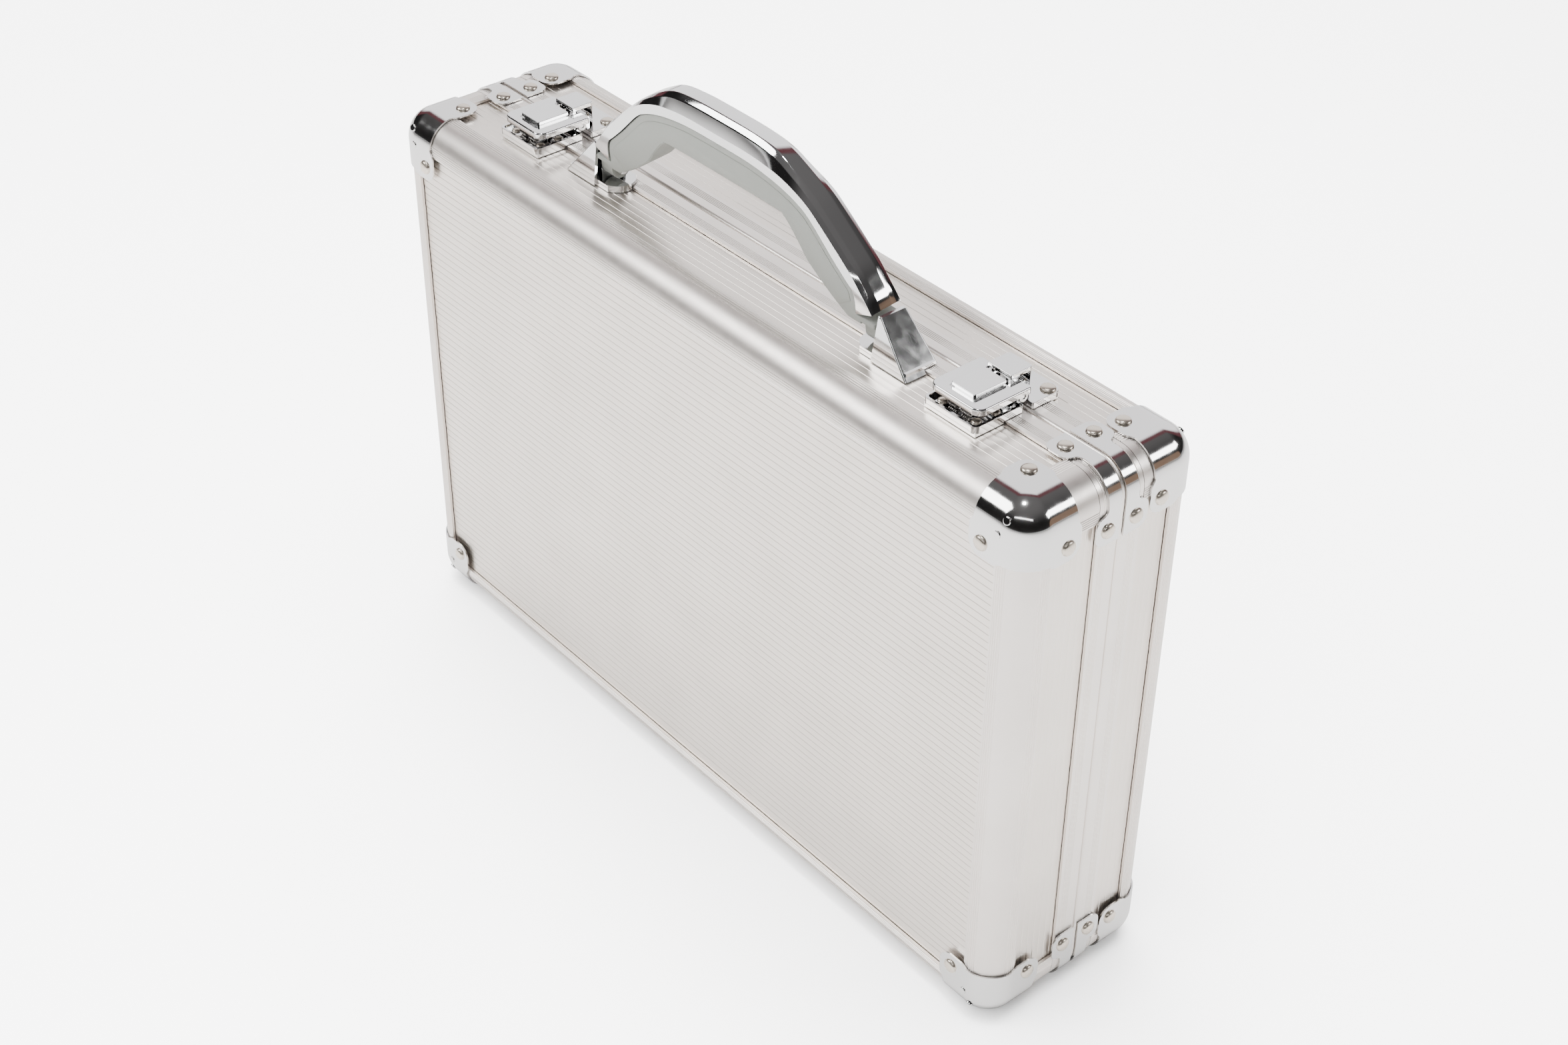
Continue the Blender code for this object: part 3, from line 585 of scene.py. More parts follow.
def tray(name, s, lip):
    li, fl = 5.7, D / 2 - 5.9
    pts = [(14.0, s * fl), (li + 3.5, s * (fl - 0.9)), (li + 1.2, s * (fl - 2.4)), (li + 0.2, s * (fl - 4.4)),
           (li, s * (fl - 6.5)), (li, lip - (0.4 if s < 0 else -0.4)), (li + 0.45, lip), (li + 1.05, lip),
           (li + 1.5, lip - (0.4 if s < 0 else -0.4)), (li + 1.5, s * (fl - 6.6)), (li + 1.9, s * (fl - 4.6)),
           (li + 3.2, s * (fl - 2.9)), (li + 5.5, s * (fl - 1.8)), (14.0, s * (fl - 1.5))]
    return ring_loft(name, pts, False, 10)


show(tray("lining", -1, YP - 0.3), "look_base_lining", M_FELT, "base", 40, ["base_lining"])
show(tray("lining", 1, YP + 3.8), "look_lid_lining", M_FELT, "lid", 40, ["lid_lining"])


# =============================================================================== rivets
def dome(bm, centre, axis, r=3.2, h=1.6, seg=26, rings=7, sink=0.25):
    """a low domed head facing along axis, added to bm"""
    ax = Vector(axis).normalized()
    u = ax.orthogonal().normalized()
    v = ax.cross(u)
    c = Vector(centre)
    rows = []
    edge = 0.35
    prof = [(r, -sink), (r, edge * 0.55), (r * 0.975, edge)]
    for i in range(1, rings):
        t = math.radians(90.0 * i / rings)
        prof.append((r * 0.96 * math.cos(t * 1.0), edge + (h - edge) * math.sin(t)))
    for rr, hh in prof:
        rows.append([bm.verts.new(c + ax * hh + (u * math.cos(2 * math.pi * k / seg) + v * math.sin(2 * math.pi * k / seg)) * rr)
                     for k in range(seg)])
    top = bm.verts.new(c + ax * h)
    for r1, r2 in zip(rows, rows[1:]):
        for k in range(seg):
            bm.faces.new((r1[k], r1[(k + 1) % seg], r2[(k + 1) % seg], r2[k]))
    for k in range(seg):
        bm.faces.new((rows[-1][k], rows[-1][(k + 1) % seg], top))
    bm.faces.new(list(reversed(rows[0])))


def rivets(name, heads, mat, body, r=3.2, h=1.6):
    bm = bmesh.new()
    for c, a in heads:
        dome(bm, c, a, r, h)
    ob = to_obj(bm, name)
    return show(ob, name, mat, body, 38)


# =============================================================================== corner plates
X1, Y1, Z1 = W / 2, -D / 2, H
LOBE_AT = 22.0


def corner_face(n=10):
    pts = [(-3, -3), (26.4, -3), (26.4, 12.0), (26.9, 13.4), (27.8, 14.6), (28.2, 16.0)]
    pts += arc(LOBE_AT, LOBE_AT, 6.2, 0, 90, n)
    return pts + [(16.0, 28.2), (14.6, 27.8), (13.4, 26.9), (12.0, 26.4), (-3, 26.4)]


def corner_solid(inset, name):
    far = 42.0
    o = box(name, X1 - far, X1 - inset, Y1 + inset, Y1 + far, Z1 - far, Z1 - inset)
    bevel(o, R0 - inset, 14, pick=lambda c, d: sum((abs(c.x - (X1 - inset)) < 0.01, abs(c.y - (Y1 + inset)) < 0.01,
                                                    abs(c.z - (Z1 - inset)) < 0.01)) == 2)
    return bake(o)


def corner_mesh():
    shell = corner_solid(0.0, "corner")
    boolean(shell, corner_solid(T_SHEET, "hollow"))
    f = corner_face()
    cut = prism("cut", [(X1 - a, Y1 + b) for a, b in f], "Z", Z1 - R0, Z1 + 3)
    boolean(cut, prism("cut_y", [(X1 - a, Z1 - b) for a, b in f], "Y", Y1 - 3, Y1 + R0), "UNION")
    boolean(cut, prism("cut_x", [(Y1 + a, Z1 - b) for a, b in f], "X", X1 - R0, X1 + 3), "UNION")
    bake(cut)
    boolean(shell, cut, "INTERSECT")
    bake(shell)
    tidy(shell, 0.01)
    return shell


corner = corner_mesh()
shaped_normals(corner, case_normal)
pips = [((X1 - 14.2, Y1, Z1 - 13.9), (0, -1, 0)),
        ((X1 - 11.6, Y1 + R0 - R0 * math.cos(math.radians(29)), Z1 - R0 + R0 * math.sin(math.radians(29))),
         (0.0, -math.cos(math.radians(29)), math.sin(math.radians(29))))]
for pre, sy in (("base", 1), ("lid", -1)):
    for nm, sx, sz in CORNERS:
        c = twin(corner, "c", flip=(sx, sy, sz), about=(0, 0, H / 2))
        src_n = [tuple(Vector((n.vector.x * sx, n.vector.y * sy, n.vector.z * sz))) for n in corner.data.corner_normals]
        # loops are reversed per face when the mesh is mirrored: copy the normals vertex by vertex inside each face
        if sx * sy * sz < 0:
            out = [None] * len(c.data.loops)
            for pa, pb in zip(corner.data.polygons, c.data.polygons):
                look = {corner.data.loops[l].vertex_index: src_n[l] for l in pa.loop_indices}
                for l in pb.loop_indices:
                    out[l] = look[c.data.loops[l].vertex_index]
        else:
            out = src_n
        c.data.normals_split_custom_set(out)
        show(c, "look_%s_corner_%s" % (pre, nm), M_CORNER, pre, None, ["%s_corner_%s" % (pre, nm)])
        m = Vector((sx, sy, sz))

        def fl(p, a):
            q = Vector(p) - Vector((0, 0, H / 2))
            return (Vector((q.x * sx, q.y * sy, q.z * sz + H / 2)), Vector((a[0] * sx, a[1] * sy, a[2] * sz)))
        heads = [fl((X1 - LOBE_AT, Y1 + LOBE_AT, Z1), (0, 0, 1)), fl((X1 - LOBE_AT, Y1, Z1 - LOBE_AT), (0, -1, 0)),
                 fl((X1, Y1 + LOBE_AT, Z1 - LOBE_AT), (1, 0, 0))]
        rivets("rivets_%s_corner_%s" % (pre, nm), heads, M_RIVET, pre)
        rivets("pips_%s_corner_%s" % (pre, nm), [fl(*q) for q in pips], M_CORNER, pre, 1.6, 0.5)
bpy.data.objects.remove(corner, do_unlink=True)

# =============================================================================== rim clips
reach = 34.0
cxk, czk = W / 2 - R0, H - R0
outl = [(W / 2 - reach, H)] + arc(cxk, czk, R0, 90, 0, 20) + [(W / 2, H - reach)] + [(W / 2 - T_SHEET, H - reach)] + \
    arc(cxk, czk, R0 - T_SHEET, 0, 90, 20) + [(W / 2 - reach, H - T_SHEET)]
clip = prism("clip", outl, "Y", YP - 16, YP - 1.2)
lobe = rounded([(-3, -1, 0), (30.2, -1, 0), (30.2, 13.3, 4.4), (17.2, 13.3, 4.4), (17.2, 7.7, 2.4), (-3, 7.7, 0)], 7)
top = prism("top", [(W / 2 - u, YP - t) for u, t in lobe], "Z", H - R0, H + 3)
boolean(top, prism("side", [(YP - t, H - u) for u, t in lobe], "X", W / 2 - R0, W / 2 + 3), "UNION")
bake(top)
boolean(clip, top, "INTERSECT")
bake(clip)
tidy(clip, 0.01)
shaped_normals(clip, side_normal)
for pre, sy in (("base", 1), ("lid", -1)):
    for nm, sx, sz in CORNERS:
        c = twin(clip, "c", flip=(sx, sy, sz), about=(0, YP, H / 2))
        src_n = [tuple(Vector((n.vector.x * sx, n.vector.y * sy, n.vector.z * sz))) for n in clip.data.corner_normals]
        if sx * sy * sz < 0:
            out = [None] * len(c.data.loops)
            for pa, pb in zip(clip.data.polygons, c.data.polygons):
                look = {clip.data.loops[l].vertex_index: src_n[l] for l in pa.loop_indices}
                for l in pb.loop_indices:
                    out[l] = look[c.data.loops[l].vertex_index]
        else:
            out = src_n
        c.data.normals_split_custom_set(out)
        show(c, "look_%s_clip_%s" % (pre, nm), M_CORNER, pre, None, ["%s_clip_%s" % (pre, nm)])
        cyk = YP - sy * 7.3
        heads = [((sx * (W / 2 - CLIP_AT), cyk, H / 2 + sz * H / 2), (0, 0, sz)),
                 ((sx * W / 2, cyk, H / 2 + sz * (H / 2 - CLIP_AT)), (sx, 0, 0))]
        rivets("rivets_%s_clip_%s" % (pre, nm), heads, M_RIVET, pre)
bpy.data.objects.remove(clip, do_unlink=True)


# =============================================================================== latches
def plate(name, x0, x1, y0, y1, z0, z1, near=0.0, far=0.0, n=7):
    return prism(name, rounded([(x0, y0, near), (x1, y0, near), (x1, y1, far), (x0, y1, far)], n), "Z", z0, z1)


def at_top(z):
    return lambda c, d: abs(c.z - z) < 0.02


LX = LATCH_X
tub = plate("tub", LX - 14, LX + 14, BASE_Y0, BASE_Y1, ZR, Z_TUB, 2.4, 0.9)
bevel(tub, 0.28, 2, pick=at_top(Z_TUB))
bake(tub)
boolean(tub, box("foot", LX - 13.4, LX + 13.4, BASE_Y0 + 0.6, BASE_RIM_Y - 0.5, ZPN, ZR + 0.5), "UNION")
boolean(tub, plate("well", LX - 12.9, LX + 12.9, BASE_Y0 + 1.1, BASE_Y1 - 1.1, ZR + 1.1, Z_TUB + 5, 1.7, 0.6))
for sx in (-1, 1):
    boolean(tub, prism("ear", [(PIV_Y - 2.6, ZR + 0.6), (BASE_Y1 - 0.3, ZR + 0.6), (PIV_Y + 1.3, PIV_Z)] +
                       arc(PIV_Y, PIV_Z, 1.3, 15, 165, 12) + [(PIV_Y - 1.3, PIV_Z)], "X", LX + sx * 10.4, LX + sx * 11.7),
            "UNION")
    boolean(tub, rod("trunnion", "X", (LX + sx * 12.2, PIV_Y, PIV_Z), 0.9, 0.9, 2.0, 24), "UNION")
bake(tub)
tidy(tub, 0.01)

lev = plate("lever", LX - LEVER_HW, LX + LEVER_HW, LEVER_Y0, LEVER_Y1, 265.5, Z_LEVER, 4.2, 1.4, 9)
bevel(lev, 0.75, 4, pick=at_top(Z_LEVER))
bake(lev)
boolean(lev, plate("hollow", LX - LEVER_HW + 1.2, LX + LEVER_HW - 1.2, LEVER_Y0 + 1.2, LEVER_Y1 + 4, 260.0, 267.0, 3.0, 0, 7))
boolean(lev, plate("moat", LX - PAD_HW - 0.65, LX + PAD_HW + 0.65, -17.85, 2.0, 267.7, 272.0, 1.3, 0, 5))
pad = plate("pad", LX - PAD_HW, LX + PAD_HW, -17.2, PIV_Y - 2.1, Z_LEVER - 1.0, Z_PAD, 0.9, 0.3, 5)
bevel(pad, 0.42, 3, pick=at_top(Z_PAD))
bake(pad)
boolean(lev, pad, "UNION")
for sx in (-1, 1):
    boolean(lev, rod("tab", "X", (LX + sx * (LEVER_HW - 0.65), PIV_Y, PIV_Z), 2.1, 2.1, 1.3, 28), "UNION")
    boolean(lev, prism("rib", [(CLAW_Y - 1.7, 267.4), (CLAW_Y - 1.7, CLAW_Z - 1.0), (CLAW_Y - 0.9, CLAW_Z - 1.7),
                               (CLAW_Y + 0.9, CLAW_Z - 1.7), (CLAW_Y + 1.7, CLAW_Z - 1.0), (CLAW_Y + 1.7, 267.4)],
                       "X", LX + sx * 5.6, LX + sx * 6.8), "UNION")
boolean(lev, box("slot", LX - 6.9, LX + 6.9, PIV_Y - 2.1, LEVER_Y1 + 3, 262.0, 272.0))
boolean(lev, prism("undercut", [(PIV_Y - 4.6, PIV_Z + 1.0), (PIV_Y - 1.9, PIV_Z + 4.3), (PIV_Y + 2, PIV_Z + 4.3),
                                (PIV_Y + 2, PIV_Z + 1.0)], "X", LX - 5.5, LX + 5.5))
boolean(lev, rod("bore", "X", (LX, PIV_Y, PIV_Z), 1.05, 1.05, 40, 24))
bake(lev)
tidy(lev, 0.01)

claw = prism("claw", [(CLAW_Y, CLAW_Z - 0.8), (3.6, CLAW_Z - 0.8), (3.6, 269.4), (2.2, 269.4), (2.2, CLAW_Z + 0.8),
                      (CLAW_Y, CLAW_Z + 0.8)], "X", LX - 5.0, LX + 5.0)
cap = plate("cap", LX - PAD_HW, LX + PAD_HW, 1.2, 12.5, 269.0, Z_CLAW, 0.35, 1.7, 6)
bevel(cap, 0.42, 3, pick=at_top(Z_CLAW))
bake(cap)
boolean(claw, cap, "UNION")
hook = plate("hook", LX - PAD_HW, LX + PAD_HW, 1.2, 12.5, 262.7, 269.8, 0.3, 1.7, 6)
boolean(hook, box("h", LX - 20, LX + 20, -5, 11.2, 250, 280))
bake(hook)
boolean(claw, hook, "UNION")
boolean(claw, rod("eye", "X", (LX, CLAW_Y, CLAW_Z), 1.5, 1.5, 10.0, 28), "UNION")
bake(claw)
tidy(claw, 0.01)

pin = rod("pin", "X", (LX, CLAW_Y, CLAW_Z), 0.72, 0.72, 14.6, 20)

catch = plate("catch", LX - 15, LX + 15, 4.4, 20.0, ZR, 261.9, 0.7, 3.8, 9)
bevel(catch, 0.3, 2, pick=at_top(261.9))
bake(catch)
boolean(catch, box("foot", LX - 14.0, LX + 14.0, LID_RIM_Y + 0.5, 18.9, ZPN, ZR + 0.5), "UNION")
ridge = prism("ridge", [(7.4, 261.5), (10.6, 261.5), (10.6, 265.6), (10.2, 266.0), (9.0, 266.0), (7.4, 263.0)],
              "X", LX - 5.5, LX + 5.5)
bevel(ridge, 0.3, 2, 30)
bake(ridge)
boolean(catch, ridge, "UNION")
bake(catch)
tidy(catch, 0.01)


def spring(name, y, z, x0, x1, r, wire, turns, tail):
    """torsion spring: a close coil along X with two straight legs"""
    path = []
    n = 20
    for i in range(turns * n + 1):
        t = 2 * math.pi * i / n
        path.append(Vector((x0 + (x1 - x0) * i / (turns * n), y + r * math.cos(t), z + r * math.sin(t))))
    path = [path[0] + Vector((0, tail[0], tail[1]))] + path + [path[-1] + Vector((0, tail[2], tail[3]))]
    bm = bmesh.new()
    rows = []
    k = 8
    for i, p in enumerate(path):
        a = path[max(i - 1, 0)]
        b = path[min(i + 1, len(path) - 1)]
        d = (b - a).normalized()
        u = d.cross(Vector((1, 0, 0)))
        if u.length < 1e-3:
            u = Vector((0, 1, 0))
        u.normalize()
        v = d.cross(u)
        rows.append([bm.verts.new(p + (u * math.cos(2 * math.pi * j / k) + v * math.sin(2 * math.pi * j / k)) * wire)
                     for j in range(k)])
    for r1, r2 in zip(rows, rows[1:]):
        for j in range(k):
            bm.faces.new((r1[j], r1[(j + 1) % k], r2[(j + 1) % k], r2[j]))
    bm.faces.new(rows[0])
    bm.faces.new(rows[-1])
    return to_obj(bm, name)


for nm, dx in (("right", 0.0), ("left", -2 * LX)):
    sh = (dx, 0, 0)
    show(twin(tub, "t", sh), "look_latch_base_" + nm, M_CHROME, "base", 32, ["latch_base_" + nm], True)
    show(twin(lev, "t", sh), "look_latch_lever_" + nm, M_CHROME, "lever_" + nm, 32, ["latch_lever_" + nm], True)
    show(twin(claw, "t", sh), "look_latch_claw_" + nm, M_CHROME, "claw_" + nm, 32, ["latch_claw_" + nm], True)
    show(twin(pin, "t", sh), "look_latch_pin_" + nm, M_STEEL, "lever_" + nm, 40, ["latch_pin_" + nm])
    show(twin(catch, "t", sh), "look_latch_catch_" + nm, M_CHROME, "lid", 32, ["latch_catch_" + nm], True)
    rivets("rivets_latch_catch_" + nm, [((LX + dx + sx * 11.6, 15.6, 261.9), (0, 0, 1)) for sx in (-1, 1)], M_RIVET, "lid")
    # rivets and springs in the tub
    zf = ZR + 1.1
    rivets("rivets_latch_base_" + nm, [((LX + dx + sx * 9.0, y, zf), (0, 0, 1)) for sx in (-1, 1) for y in (-18.2, -8.6)],
           M_RIVET, "base", 2.0, 1.0)
    for j, (a, b) in enumerate(((-5.6, -1.2), (1.2, 5.6))):
        s = spring("spring", -17.6, zf + 1.75, LX + dx + a, LX + dx + b, 1.25, 0.36, 5, (6.5, -1.2, 7.0, 0.9))
        show(s, "spring_%s_%s" % (nm, "ab"[j]), M_SPRING, "base", 50)
for o in (tub, lev, claw, pin, catch):
    bpy.data.objects.remove(o, do_unlink=True)

# =============================================================================== handle
low = [(0, 48.6), (17, 48.4), (28.4, 47.3), (38.6, 45.3), (47.3, 42.3), (53.9, 38.2), (65.3, 27.2), (72.3, 20.9),
       (76.2, 17.4), (77.6, 13.2), (77.7, 7.6)]
band = [(0, 52.5), (17.2, 52.5), (29.5, 51.5), (40.0, 49.5), (50.8, 45.1), (57.9, 40.0), (69.9, 29.8), (76.3, 23.9),
        (80.5, 19.0), (84.0, 14.9), (86.9, 11.2)]
crown = [(0, 59.7), (18, 59.4), (31.5, 58.4), (43.5, 56.1), (54.0, 51.2), (62.5, 45.5), (75.5, 35.2), (83.0, 28.9),
         (87.4, 23.6), (89.3, 19.2), (88.0, 13.2)]
under = [(0, 33.7), (33.0, 33.5), (37.2, 32.4), (39.8, 30.5), (45.7, 23.7), (50.5, 17.8), (60.1, 10.7), (70.0, 4.6),
         (73.0, 3.6), (79.9, 3.6)]


def both(pts):
    return [(-x, z) for x, z in reversed(pts[1:])] + list(pts)


def spline(pts, k):
    """Catmull-Rom through the points, k steps a span"""
    p = [Vector(q) for q in pts]
    out = []
    for i in range(len(p) - 1):
        a = p[i - 1] if i else p[0] * 2 - p[1]
        b, c = p[i], p[i + 1]
        d = p[i + 2] if i + 2 < len(p) else p[-1] * 2 - p[-2]
        for j in range(k):
            t = j / k
            out.append(0.5 * ((2 * b) + (c - a) * t + (2 * a - 5 * b + 4 * c - d) * t * t +
                              (3 * b - a - 3 * c + d) * t ** 3))
    out.append(p[-1])
    return [(v.x, v.y) for v in out]


def tilt(ob):
    a = Vector((0, HND_Y, HND_Z + STAND)) * MM
    ob.data.transform(Matrix.Translation(a) @ Matrix.Rotation(math.radians(HND_TILT), 4, "X") @ Matrix.Translation(-a))
    return ob


KS = 4
# the back of the shell is raised over the middle and nearly flush with its edge down the legs
LIFT = (1.0, 1.0, 0.9, 0.5, 0.25, 0.2, 0.18, 0.18, 0.18, 0.18, 0.18)
crown = [(xb + k * (xc - xb), zb + k * (zc - zb)) for (xb, zb), (xc, zc), k in zip(band, crown, LIFT)]
lo_c, ba_c, cr_c = (spline(both(q), KS) for q in (low, band, crown))
G1, G2 = 4.0, 11.0
sec = rounded([(-HND_HW, 0, 0), (-HND_HW, G1, 0.7), (-5.3, G1 + 0.72 * (G2 - G1), 1.6), (-3.1, G2, 1.3),
               (3.1, G2, 1.3), (5.3, G1 + 0.72 * (G2 - G1), 1.6), (HND_HW, G1, 0.7), (HND_HW, 0, 0)], 4)
bm = bmesh.new()
rows = []
for (xl, zl), (xu, zu), (xc, zc) in zip(lo_c, ba_c, cr_c):
    row = []
    for y, g in sec:
        if g <= G1:
            t = g / G1
            x, z = xl + (xu - xl) * t, zl + 0.15 + (zu - zl - 0.15) * t
        else:
            t = (g - G1) / (G2 - G1)
            x, z = xu + (xc - xu) * t, zu + (zc - zu) * t
        row.append(bm.verts.new((x, HND_Y + y, HND_Z + z)))
    rows.append(row)
m = len(sec)
for r1, r2 in zip(rows, rows[1:]):
    for i in range(m):
        bm.faces.new((r1[i], r1[(i + 1) % m], r2[(i + 1) % m], r2[i]))
bm.faces.new(rows[0])
bm.faces.new(rows[-1])
shell = tilt(to_obj(bm, "shell"))
show(shell, "look_handle_shell", M_CHROME, "handle", 38, ["handle_shell"])


def offset_in(pts, d):
    """the line moved d towards the hand side"""
    out = []
    for i, p in enumerate(pts):
        a, b = Vector(pts[max(i - 1, 0)]), Vector(pts[min(i + 1, len(pts) - 1)])
        t = (b - a).normalized()
        n = Vector((t.y, -t.x))
        q = Vector(p) + n * d
        out.append((q.x, q.y))
    return out


low_f = spline([(math.copysign(abs(x) - (0.0 if z > 20 else 0.3), x), z - 0.2) for x, z in both(low)], 4)
und_f = spline(both(under), 3)
tongue_r = [(77.7, 7.0), (87.3, 7.0), (87.3, 0.0), (79.9, 0.0)]
tongue_l = [(-x, z) for x, z in reversed(tongue_r)]
outline = tongue_l + low_f + tongue_r + list(reversed(und_f))
grip = prism("grip", [(x, HND_Z + z) for x, z in outline], "Y", HND_Y - 6.75, HND_Y + 6.75)
bevel(grip, 1.0, 4, angle=60)
bake(grip)
# raised face inside a thin parting line
inner_top = offset_in(low_f, 3.0)
inner_top = [p for p in inner_top if p[1] > 11.5]
inner_low = [p for p in und_f if p[1] > 7.5 or abs(p[0]) < 70]
face = prism("face", [(x, HND_Z + z) for x, z in inner_top + list(reversed([(x * 1.0, z + 0.6) for x, z in inner_low]))],
             "Y", HND_Y - 7.02, HND_Y + 7.02)
bevel(face, 0.3, 2, angle=60)
bake(face)
boolean(grip, face, "UNION")
for sx in (-1, 1):
    for sy in (-1, 1):
        boolean(grip, box("slim", min(sx * 79.5, sx * 95.0), max(sx * 79.5, sx * 95.0), min(HND_Y + sy * 4.7, HND_Y + sy * 12),
                    max(HND_Y + sy * 4.7, HND_Y + sy * 12), HND_Z - 8, HND_Z + 4.8))
    boolean(grip, rod("eye", "X", (sx * 83.6, HND_Y, HND_Z), 4.7, 4.7, 7.4, 32), "UNION")
    boolean(grip, rod("bore", "X", (sx * 83.6, HND_Y, HND_Z), PIN_R + 0.1, PIN_R + 0.1, 12.0, 24))
bake(grip)
tidy(grip, 0.01)
tilt(grip)
show(grip, "look_handle_grip", M_GRIP, "handle", 32, ["handle_grip"])


def tent(name, grow, x_open):
    bm = bmesh.new()
    bmesh.ops.create_cube(bm, size=1.0)
    for v in bm.verts:
        lowv = v.co.z < 0
        hw = (8.9 if lowv else 6.4) + grow
        inner = v.co.x < 0
        x = x_open if inner else ((107.5 if lowv else 90.2) + grow * 1.2)
        if inner and not lowv:
            x = x_open + (0.9 if grow == 0 else 0.0)
        z = (ZPN if lowv else 277.2 + grow * 1.6)
        v.co = Vector((x, HND_Y + (hw if v.co.y > 0 else -hw), z))
    return to_obj(bm, name)


br = tent("bracket", 0.0, 87.7)
bevel(br, 0.7, 4, pick=lambda c, d: c.x > 89.0 and abs(d.y) < 0.9 and c.z > ZR + 1)
bake(br)
boolean(br, tent("inside", -1.2, 80.0))
boolean(br, box("foot", 80.0, 106.2, HND_Y - 7.6, HND_Y + 7.6, ZPN, 260.7), "UNION")
boolean(br, rod("toe", "Z", (82.6, HND_Y, (ZPN + 260.7) / 2), 7.6, 7.6, 260.7 - ZPN, 48), "UNION")
cheek = prism("cheek", [(HND_Y - 4.4, 260.0)] + arc(HND_Y, HND_Z, 4.4, 180, 0, 18) + [(HND_Y + 4.4, 260.0)], "X", 88.0, 89.9)
boolean(br, cheek, "UNION")
boolean(br, box("step", 60.0, 120.0, BASE_RIM_Y - 0.3, 10.0, 250.0, ZR))
bake(br)
tidy(br, 0.01)
hp = rod("pin", "X", (85.2, HND_Y, HND_Z), PIN_R, PIN_R, 12.4, 28)
boolean(hp, rod("head", "X", (78.6, HND_Y, HND_Z), 2.3, 2.6, 1.2, 32), "UNION")
bake(hp)
for nm, sx in (("right", 1), ("left", -1)):
    show(twin(br, "b", flip=(sx, 1, 1)), "look_handle_bracket_" + nm, M_CHROME, "base", 32, ["handle_bracket_" + nm], True)
    show(twin(hp, "p", flip=(sx, 1, 1)), "look_handle_pin_" + nm, M_STEEL, "base", 38, ["handle_pin_" + nm])
bpy.data.objects.remove(br, do_unlink=True)
bpy.data.objects.remove(hp, do_unlink=True)

# hinge leaves and pin are shown as they are
for n in ("hinge_leaf_base", "hinge_leaf_lid", "hinge_pin"):
    o = frame["nodes"][n]
    o.data.materials.clear()
    o.data.materials.append(M_STEEL)

# =============================================================================== camera
Rx = (0.6418686831612412, 0.7667705617672894, 0.008215788697931492)
Ry = (0.4627685779279377, -0.3787990199602333, -0.8014714878021055)
Rz = (-0.611432610235509, 0.5182414573191166, -0.5979765505906984)
cam = bpy.data.cameras.new("camera")
cam.sensor_fit = "HORIZONTAL"
cam.sensor_width = 36.0
cam.lens = 3641.5 / 2352 * 36.0
cam.clip_start, cam.clip_end = 0.02, 50.0
co = bpy.data.objects.new("camera", cam)
bpy.context.scene.collection.objects.link(co)
co.matrix_world = Matrix(((Rx[0], -Ry[0], -Rz[0], 0.65507), (Rx[1], -Ry[1], -Rz[1], -0.54148),
                          (Rx[2], -Ry[2], -Rz[2], 0.75616 + 0.0021), (0, 0, 0, 1)))
bpy.context.scene.camera = co


# =============================================================================== floor and light
def flat(name, corners, rgb, rough=0.6, glow=0.0):
    me = bpy.data.meshes.new(name)
    me.from_pydata(corners, [], [(0, 1, 2, 3)])
    ob = bpy.data.objects.new(name, me)
    bpy.context.scene.collection.objects.link(ob)
    mt, nt, b = nodes_of(name + "_paint")
    b.inputs["Base Color"].default_value = (*rgb, 1)
    b.inputs["Roughness"].default_value = rough
    if glow:
        b.inputs["Emission Color"].default_value = (1, 1, 1, 1)
        b.inputs["Emission Strength"].default_value = glow
    me.materials.append(mt)
    return ob


floor = flat("floor", [(-6, -6, 0), (6, -6, 0), (6, 6, 0), (-6, 6, 0)], (0.93, 0.93, 0.93), 0.7)
# the floor is brightly lit paper; for every ray but camera rays its colour is darkened, a painted shade that makes it
# show at a calmer level in the bright metal and bounce less light
_nt = floor.data.materials[0].node_tree
_lp = _nt.nodes.new("ShaderNodeLightPath")
_mx = tint(_nt, _lp.outputs["Is Camera Ray"], (0.33, 0.325, 0.32), (0.93, 0.93, 0.93))
_nt.links.new(_mx.outputs[2], _nt.nodes["Principled BSDF"].inputs["Base Color"])


def area(name, loc, aim, size, energy, colour=(1, 1, 1), spread=180.0):
    li = bpy.data.lights.new(name, "AREA")
    li.shape = "RECTANGLE"
    li.size, li.size_y = size
    li.energy = energy
    li.color = colour
    li.spread = math.radians(spread)
    ob = bpy.data.objects.new(name, li)
    bpy.context.scene.collection.objects.link(ob)
    ob.location = loc
    ob.rotation_mode = "QUATERNION"
    ob.rotation_quaternion = (Vector(aim) - Vector(loc)).to_track_quat("-Z", "Y")
    return ob


def sky(elev, azim, dist, mid=(0.0, 0.0, 0.15)):
    """a place seen from the case at an elevation and an azimuth (degrees, anticlockwise from +X)"""
    e_, a_ = math.radians(elev), math.radians(azim)
    return tuple(Vector(mid) + Vector((math.cos(e_) * math.cos(a_), math.cos(e_) * math.sin(a_), math.sin(e_))) * dist)


AIM = (0.1, -0.02, 0.2)
# lamps that show in the bright metal
area("soft_left", sky(40, -136, 2.2, AIM), AIM, (1.0, 0.85), 26)
area("soft_right", sky(27, 43, 2.2, AIM), AIM, (1.0, 0.45), 15)
area("overhead", sky(82, -94, 1.7, AIM), AIM, (0.16, 0.16), 9)
area("strip", sky(40, -55, 2.4, AIM), AIM, (2.3, 0.05), 7)


def only_on(lamp, objs, name):
    """the lamp lights these objects and no others"""
    c = bpy.data.collections.new(name)
    for o_ in objs:
        c.objects.link(o_)
    lamp.light_linking.receiver_collection = c
    return lamp


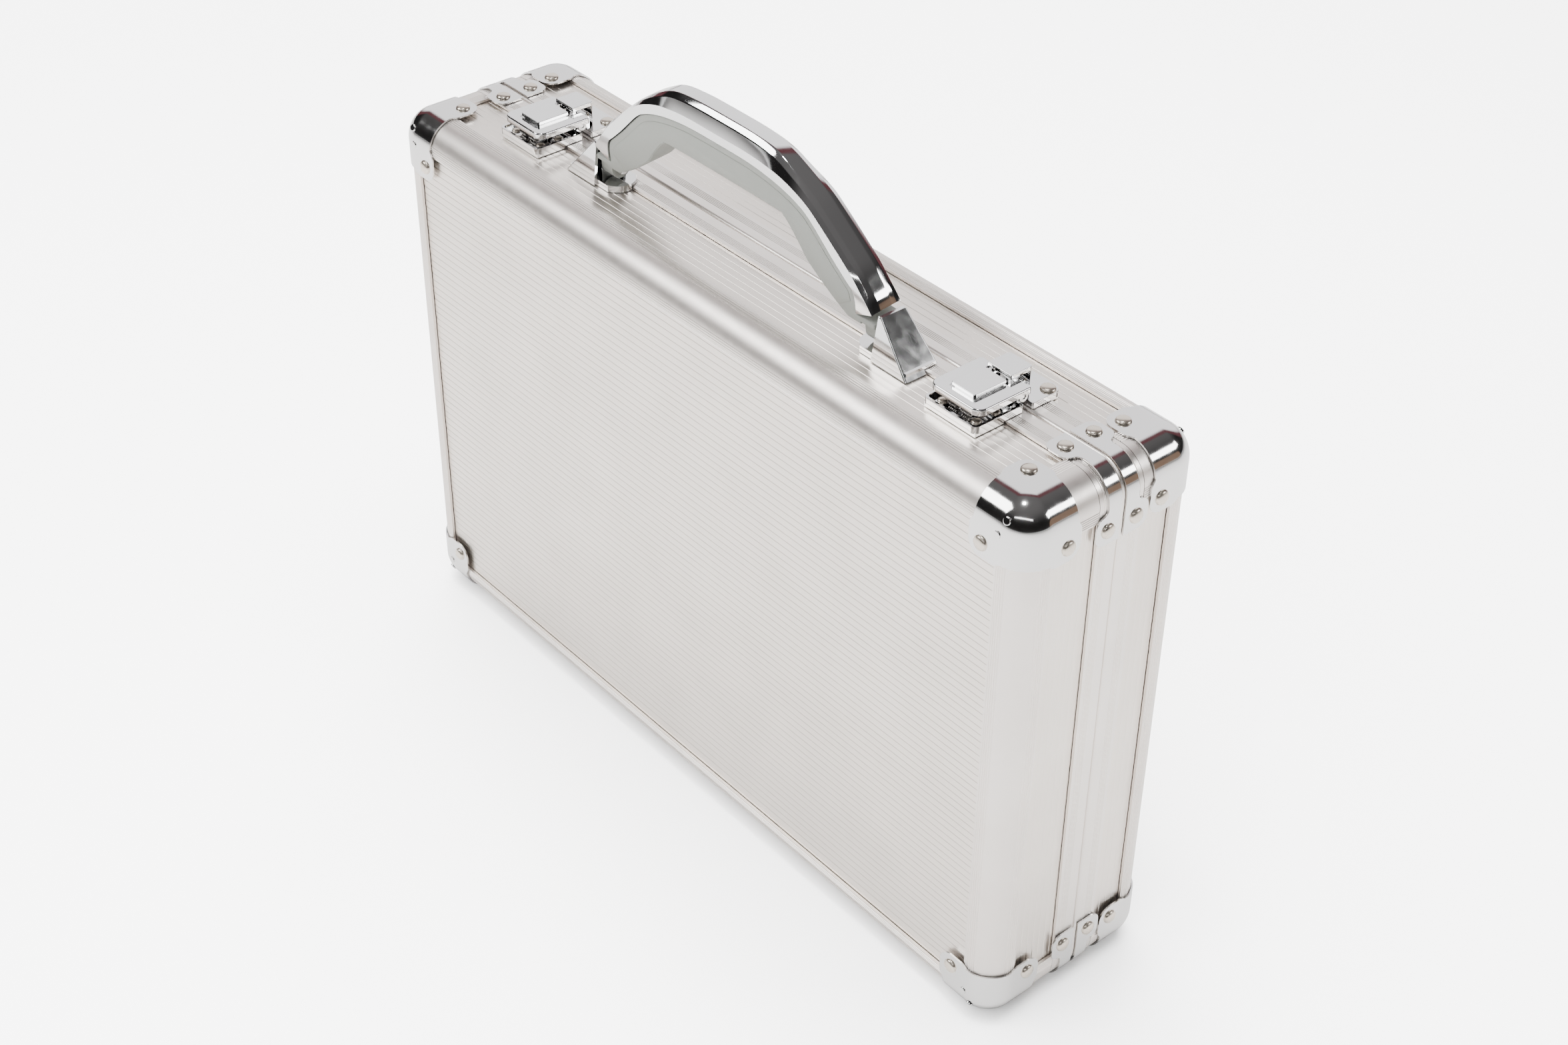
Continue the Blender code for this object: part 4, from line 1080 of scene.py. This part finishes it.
# the paper floor is lit brightly; the object has its own gentler fills
SATIN = [o_ for o_ in PIECES if o_.data.materials[0] in (M_PX, M_PZ, M_FRAME, M_RIM)]
for nm_, el_, az_, d_, sz_, en_ in (("floor_top", 86, 200, 2.6, (2.4, 2.4), 430), ("floor_back", 50, 150, 3.4, (3.0, 2.0), 190),
                                    ("floor_front", 45, -75, 3.4, (3.0, 2.0), 190)):
    only_on(area(nm_, sky(el_, az_, d_, AIM), AIM, sz_, en_), [floor], nm_)
for nm_, el_, az_, d_, sz_, en_ in (("satin_fill", 65, -60, 2.6, (2.6, 2.6), 28),):
    only_on(area(nm_, sky(el_, az_, d_, AIM), AIM, sz_, en_), SATIN, nm_)
f_ = area("fill", sky(50, -60, 3.0, AIM), AIM, (2.0, 2.0), 30)
f_.visible_glossy = False

world = bpy.data.worlds.new("studio")
bpy.context.scene.world = world
world.use_nodes = True
wn = world.node_tree
bg = wn.nodes["Background"]
tc = wn.nodes.new("ShaderNodeTexCoord")


def lobe_mask(axis, a0, a1):
    """1 near a direction, 0 away from it; a0 and a1 are cosines"""
    v = Vector(axis).normalized()
    dt = wn.nodes.new("ShaderNodeVectorMath")
    dt.operation = "DOT_PRODUCT"
    dt.inputs[1].default_value = v
    wn.links.new(tc.outputs["Generated"], dt.inputs[0])
    r = wn.nodes.new("ShaderNodeMapRange")
    r.interpolation_type = "SMOOTHSTEP"
    r.inputs["From Min"].default_value = a0
    r.inputs["From Max"].default_value = a1
    wn.links.new(dt.outputs["Value"], r.inputs["Value"])
    return r.outputs["Result"]


def layer(under, rgb, fac):
    mx = wn.nodes.new("ShaderNodeMix")
    mx.data_type = "RGBA"
    if isinstance(under, tuple):
        mx.inputs[6].default_value = (*under, 1)
    else:
        wn.links.new(under, mx.inputs[6])
    mx.inputs[7].default_value = (*rgb, 1)
    wn.links.new(fac, mx.inputs[0])
    return mx.outputs[2]


# dark room, greyer overhead; a maroon fringe and then the white backdrop; white below the horizon
col = layer((0.018, 0.017, 0.017), (0.16, 0.155, 0.155), lobe_mask((0, 0, 1), 0.35, 0.95))
col = layer(col, (0.16, 0.06, 0.07), lobe_mask((-0.62, 0.68, 0.38), 0.66, 0.72))
col = layer(col, (1.75, 1.72, 1.74), lobe_mask((-0.62, 0.68, 0.38), 0.76, 0.84))
col = layer(col, (0.30, 0.20, 0.14), lobe_mask((0.79, 0.61, 0.03), 0.970, 0.985))
col = layer(col, (1.8, 1.8, 1.8), lobe_mask((0, 0, -1), 0.0, 0.06))
wn.links.new(col, bg.inputs["Color"])
bg.inputs["Strength"].default_value = 1.0
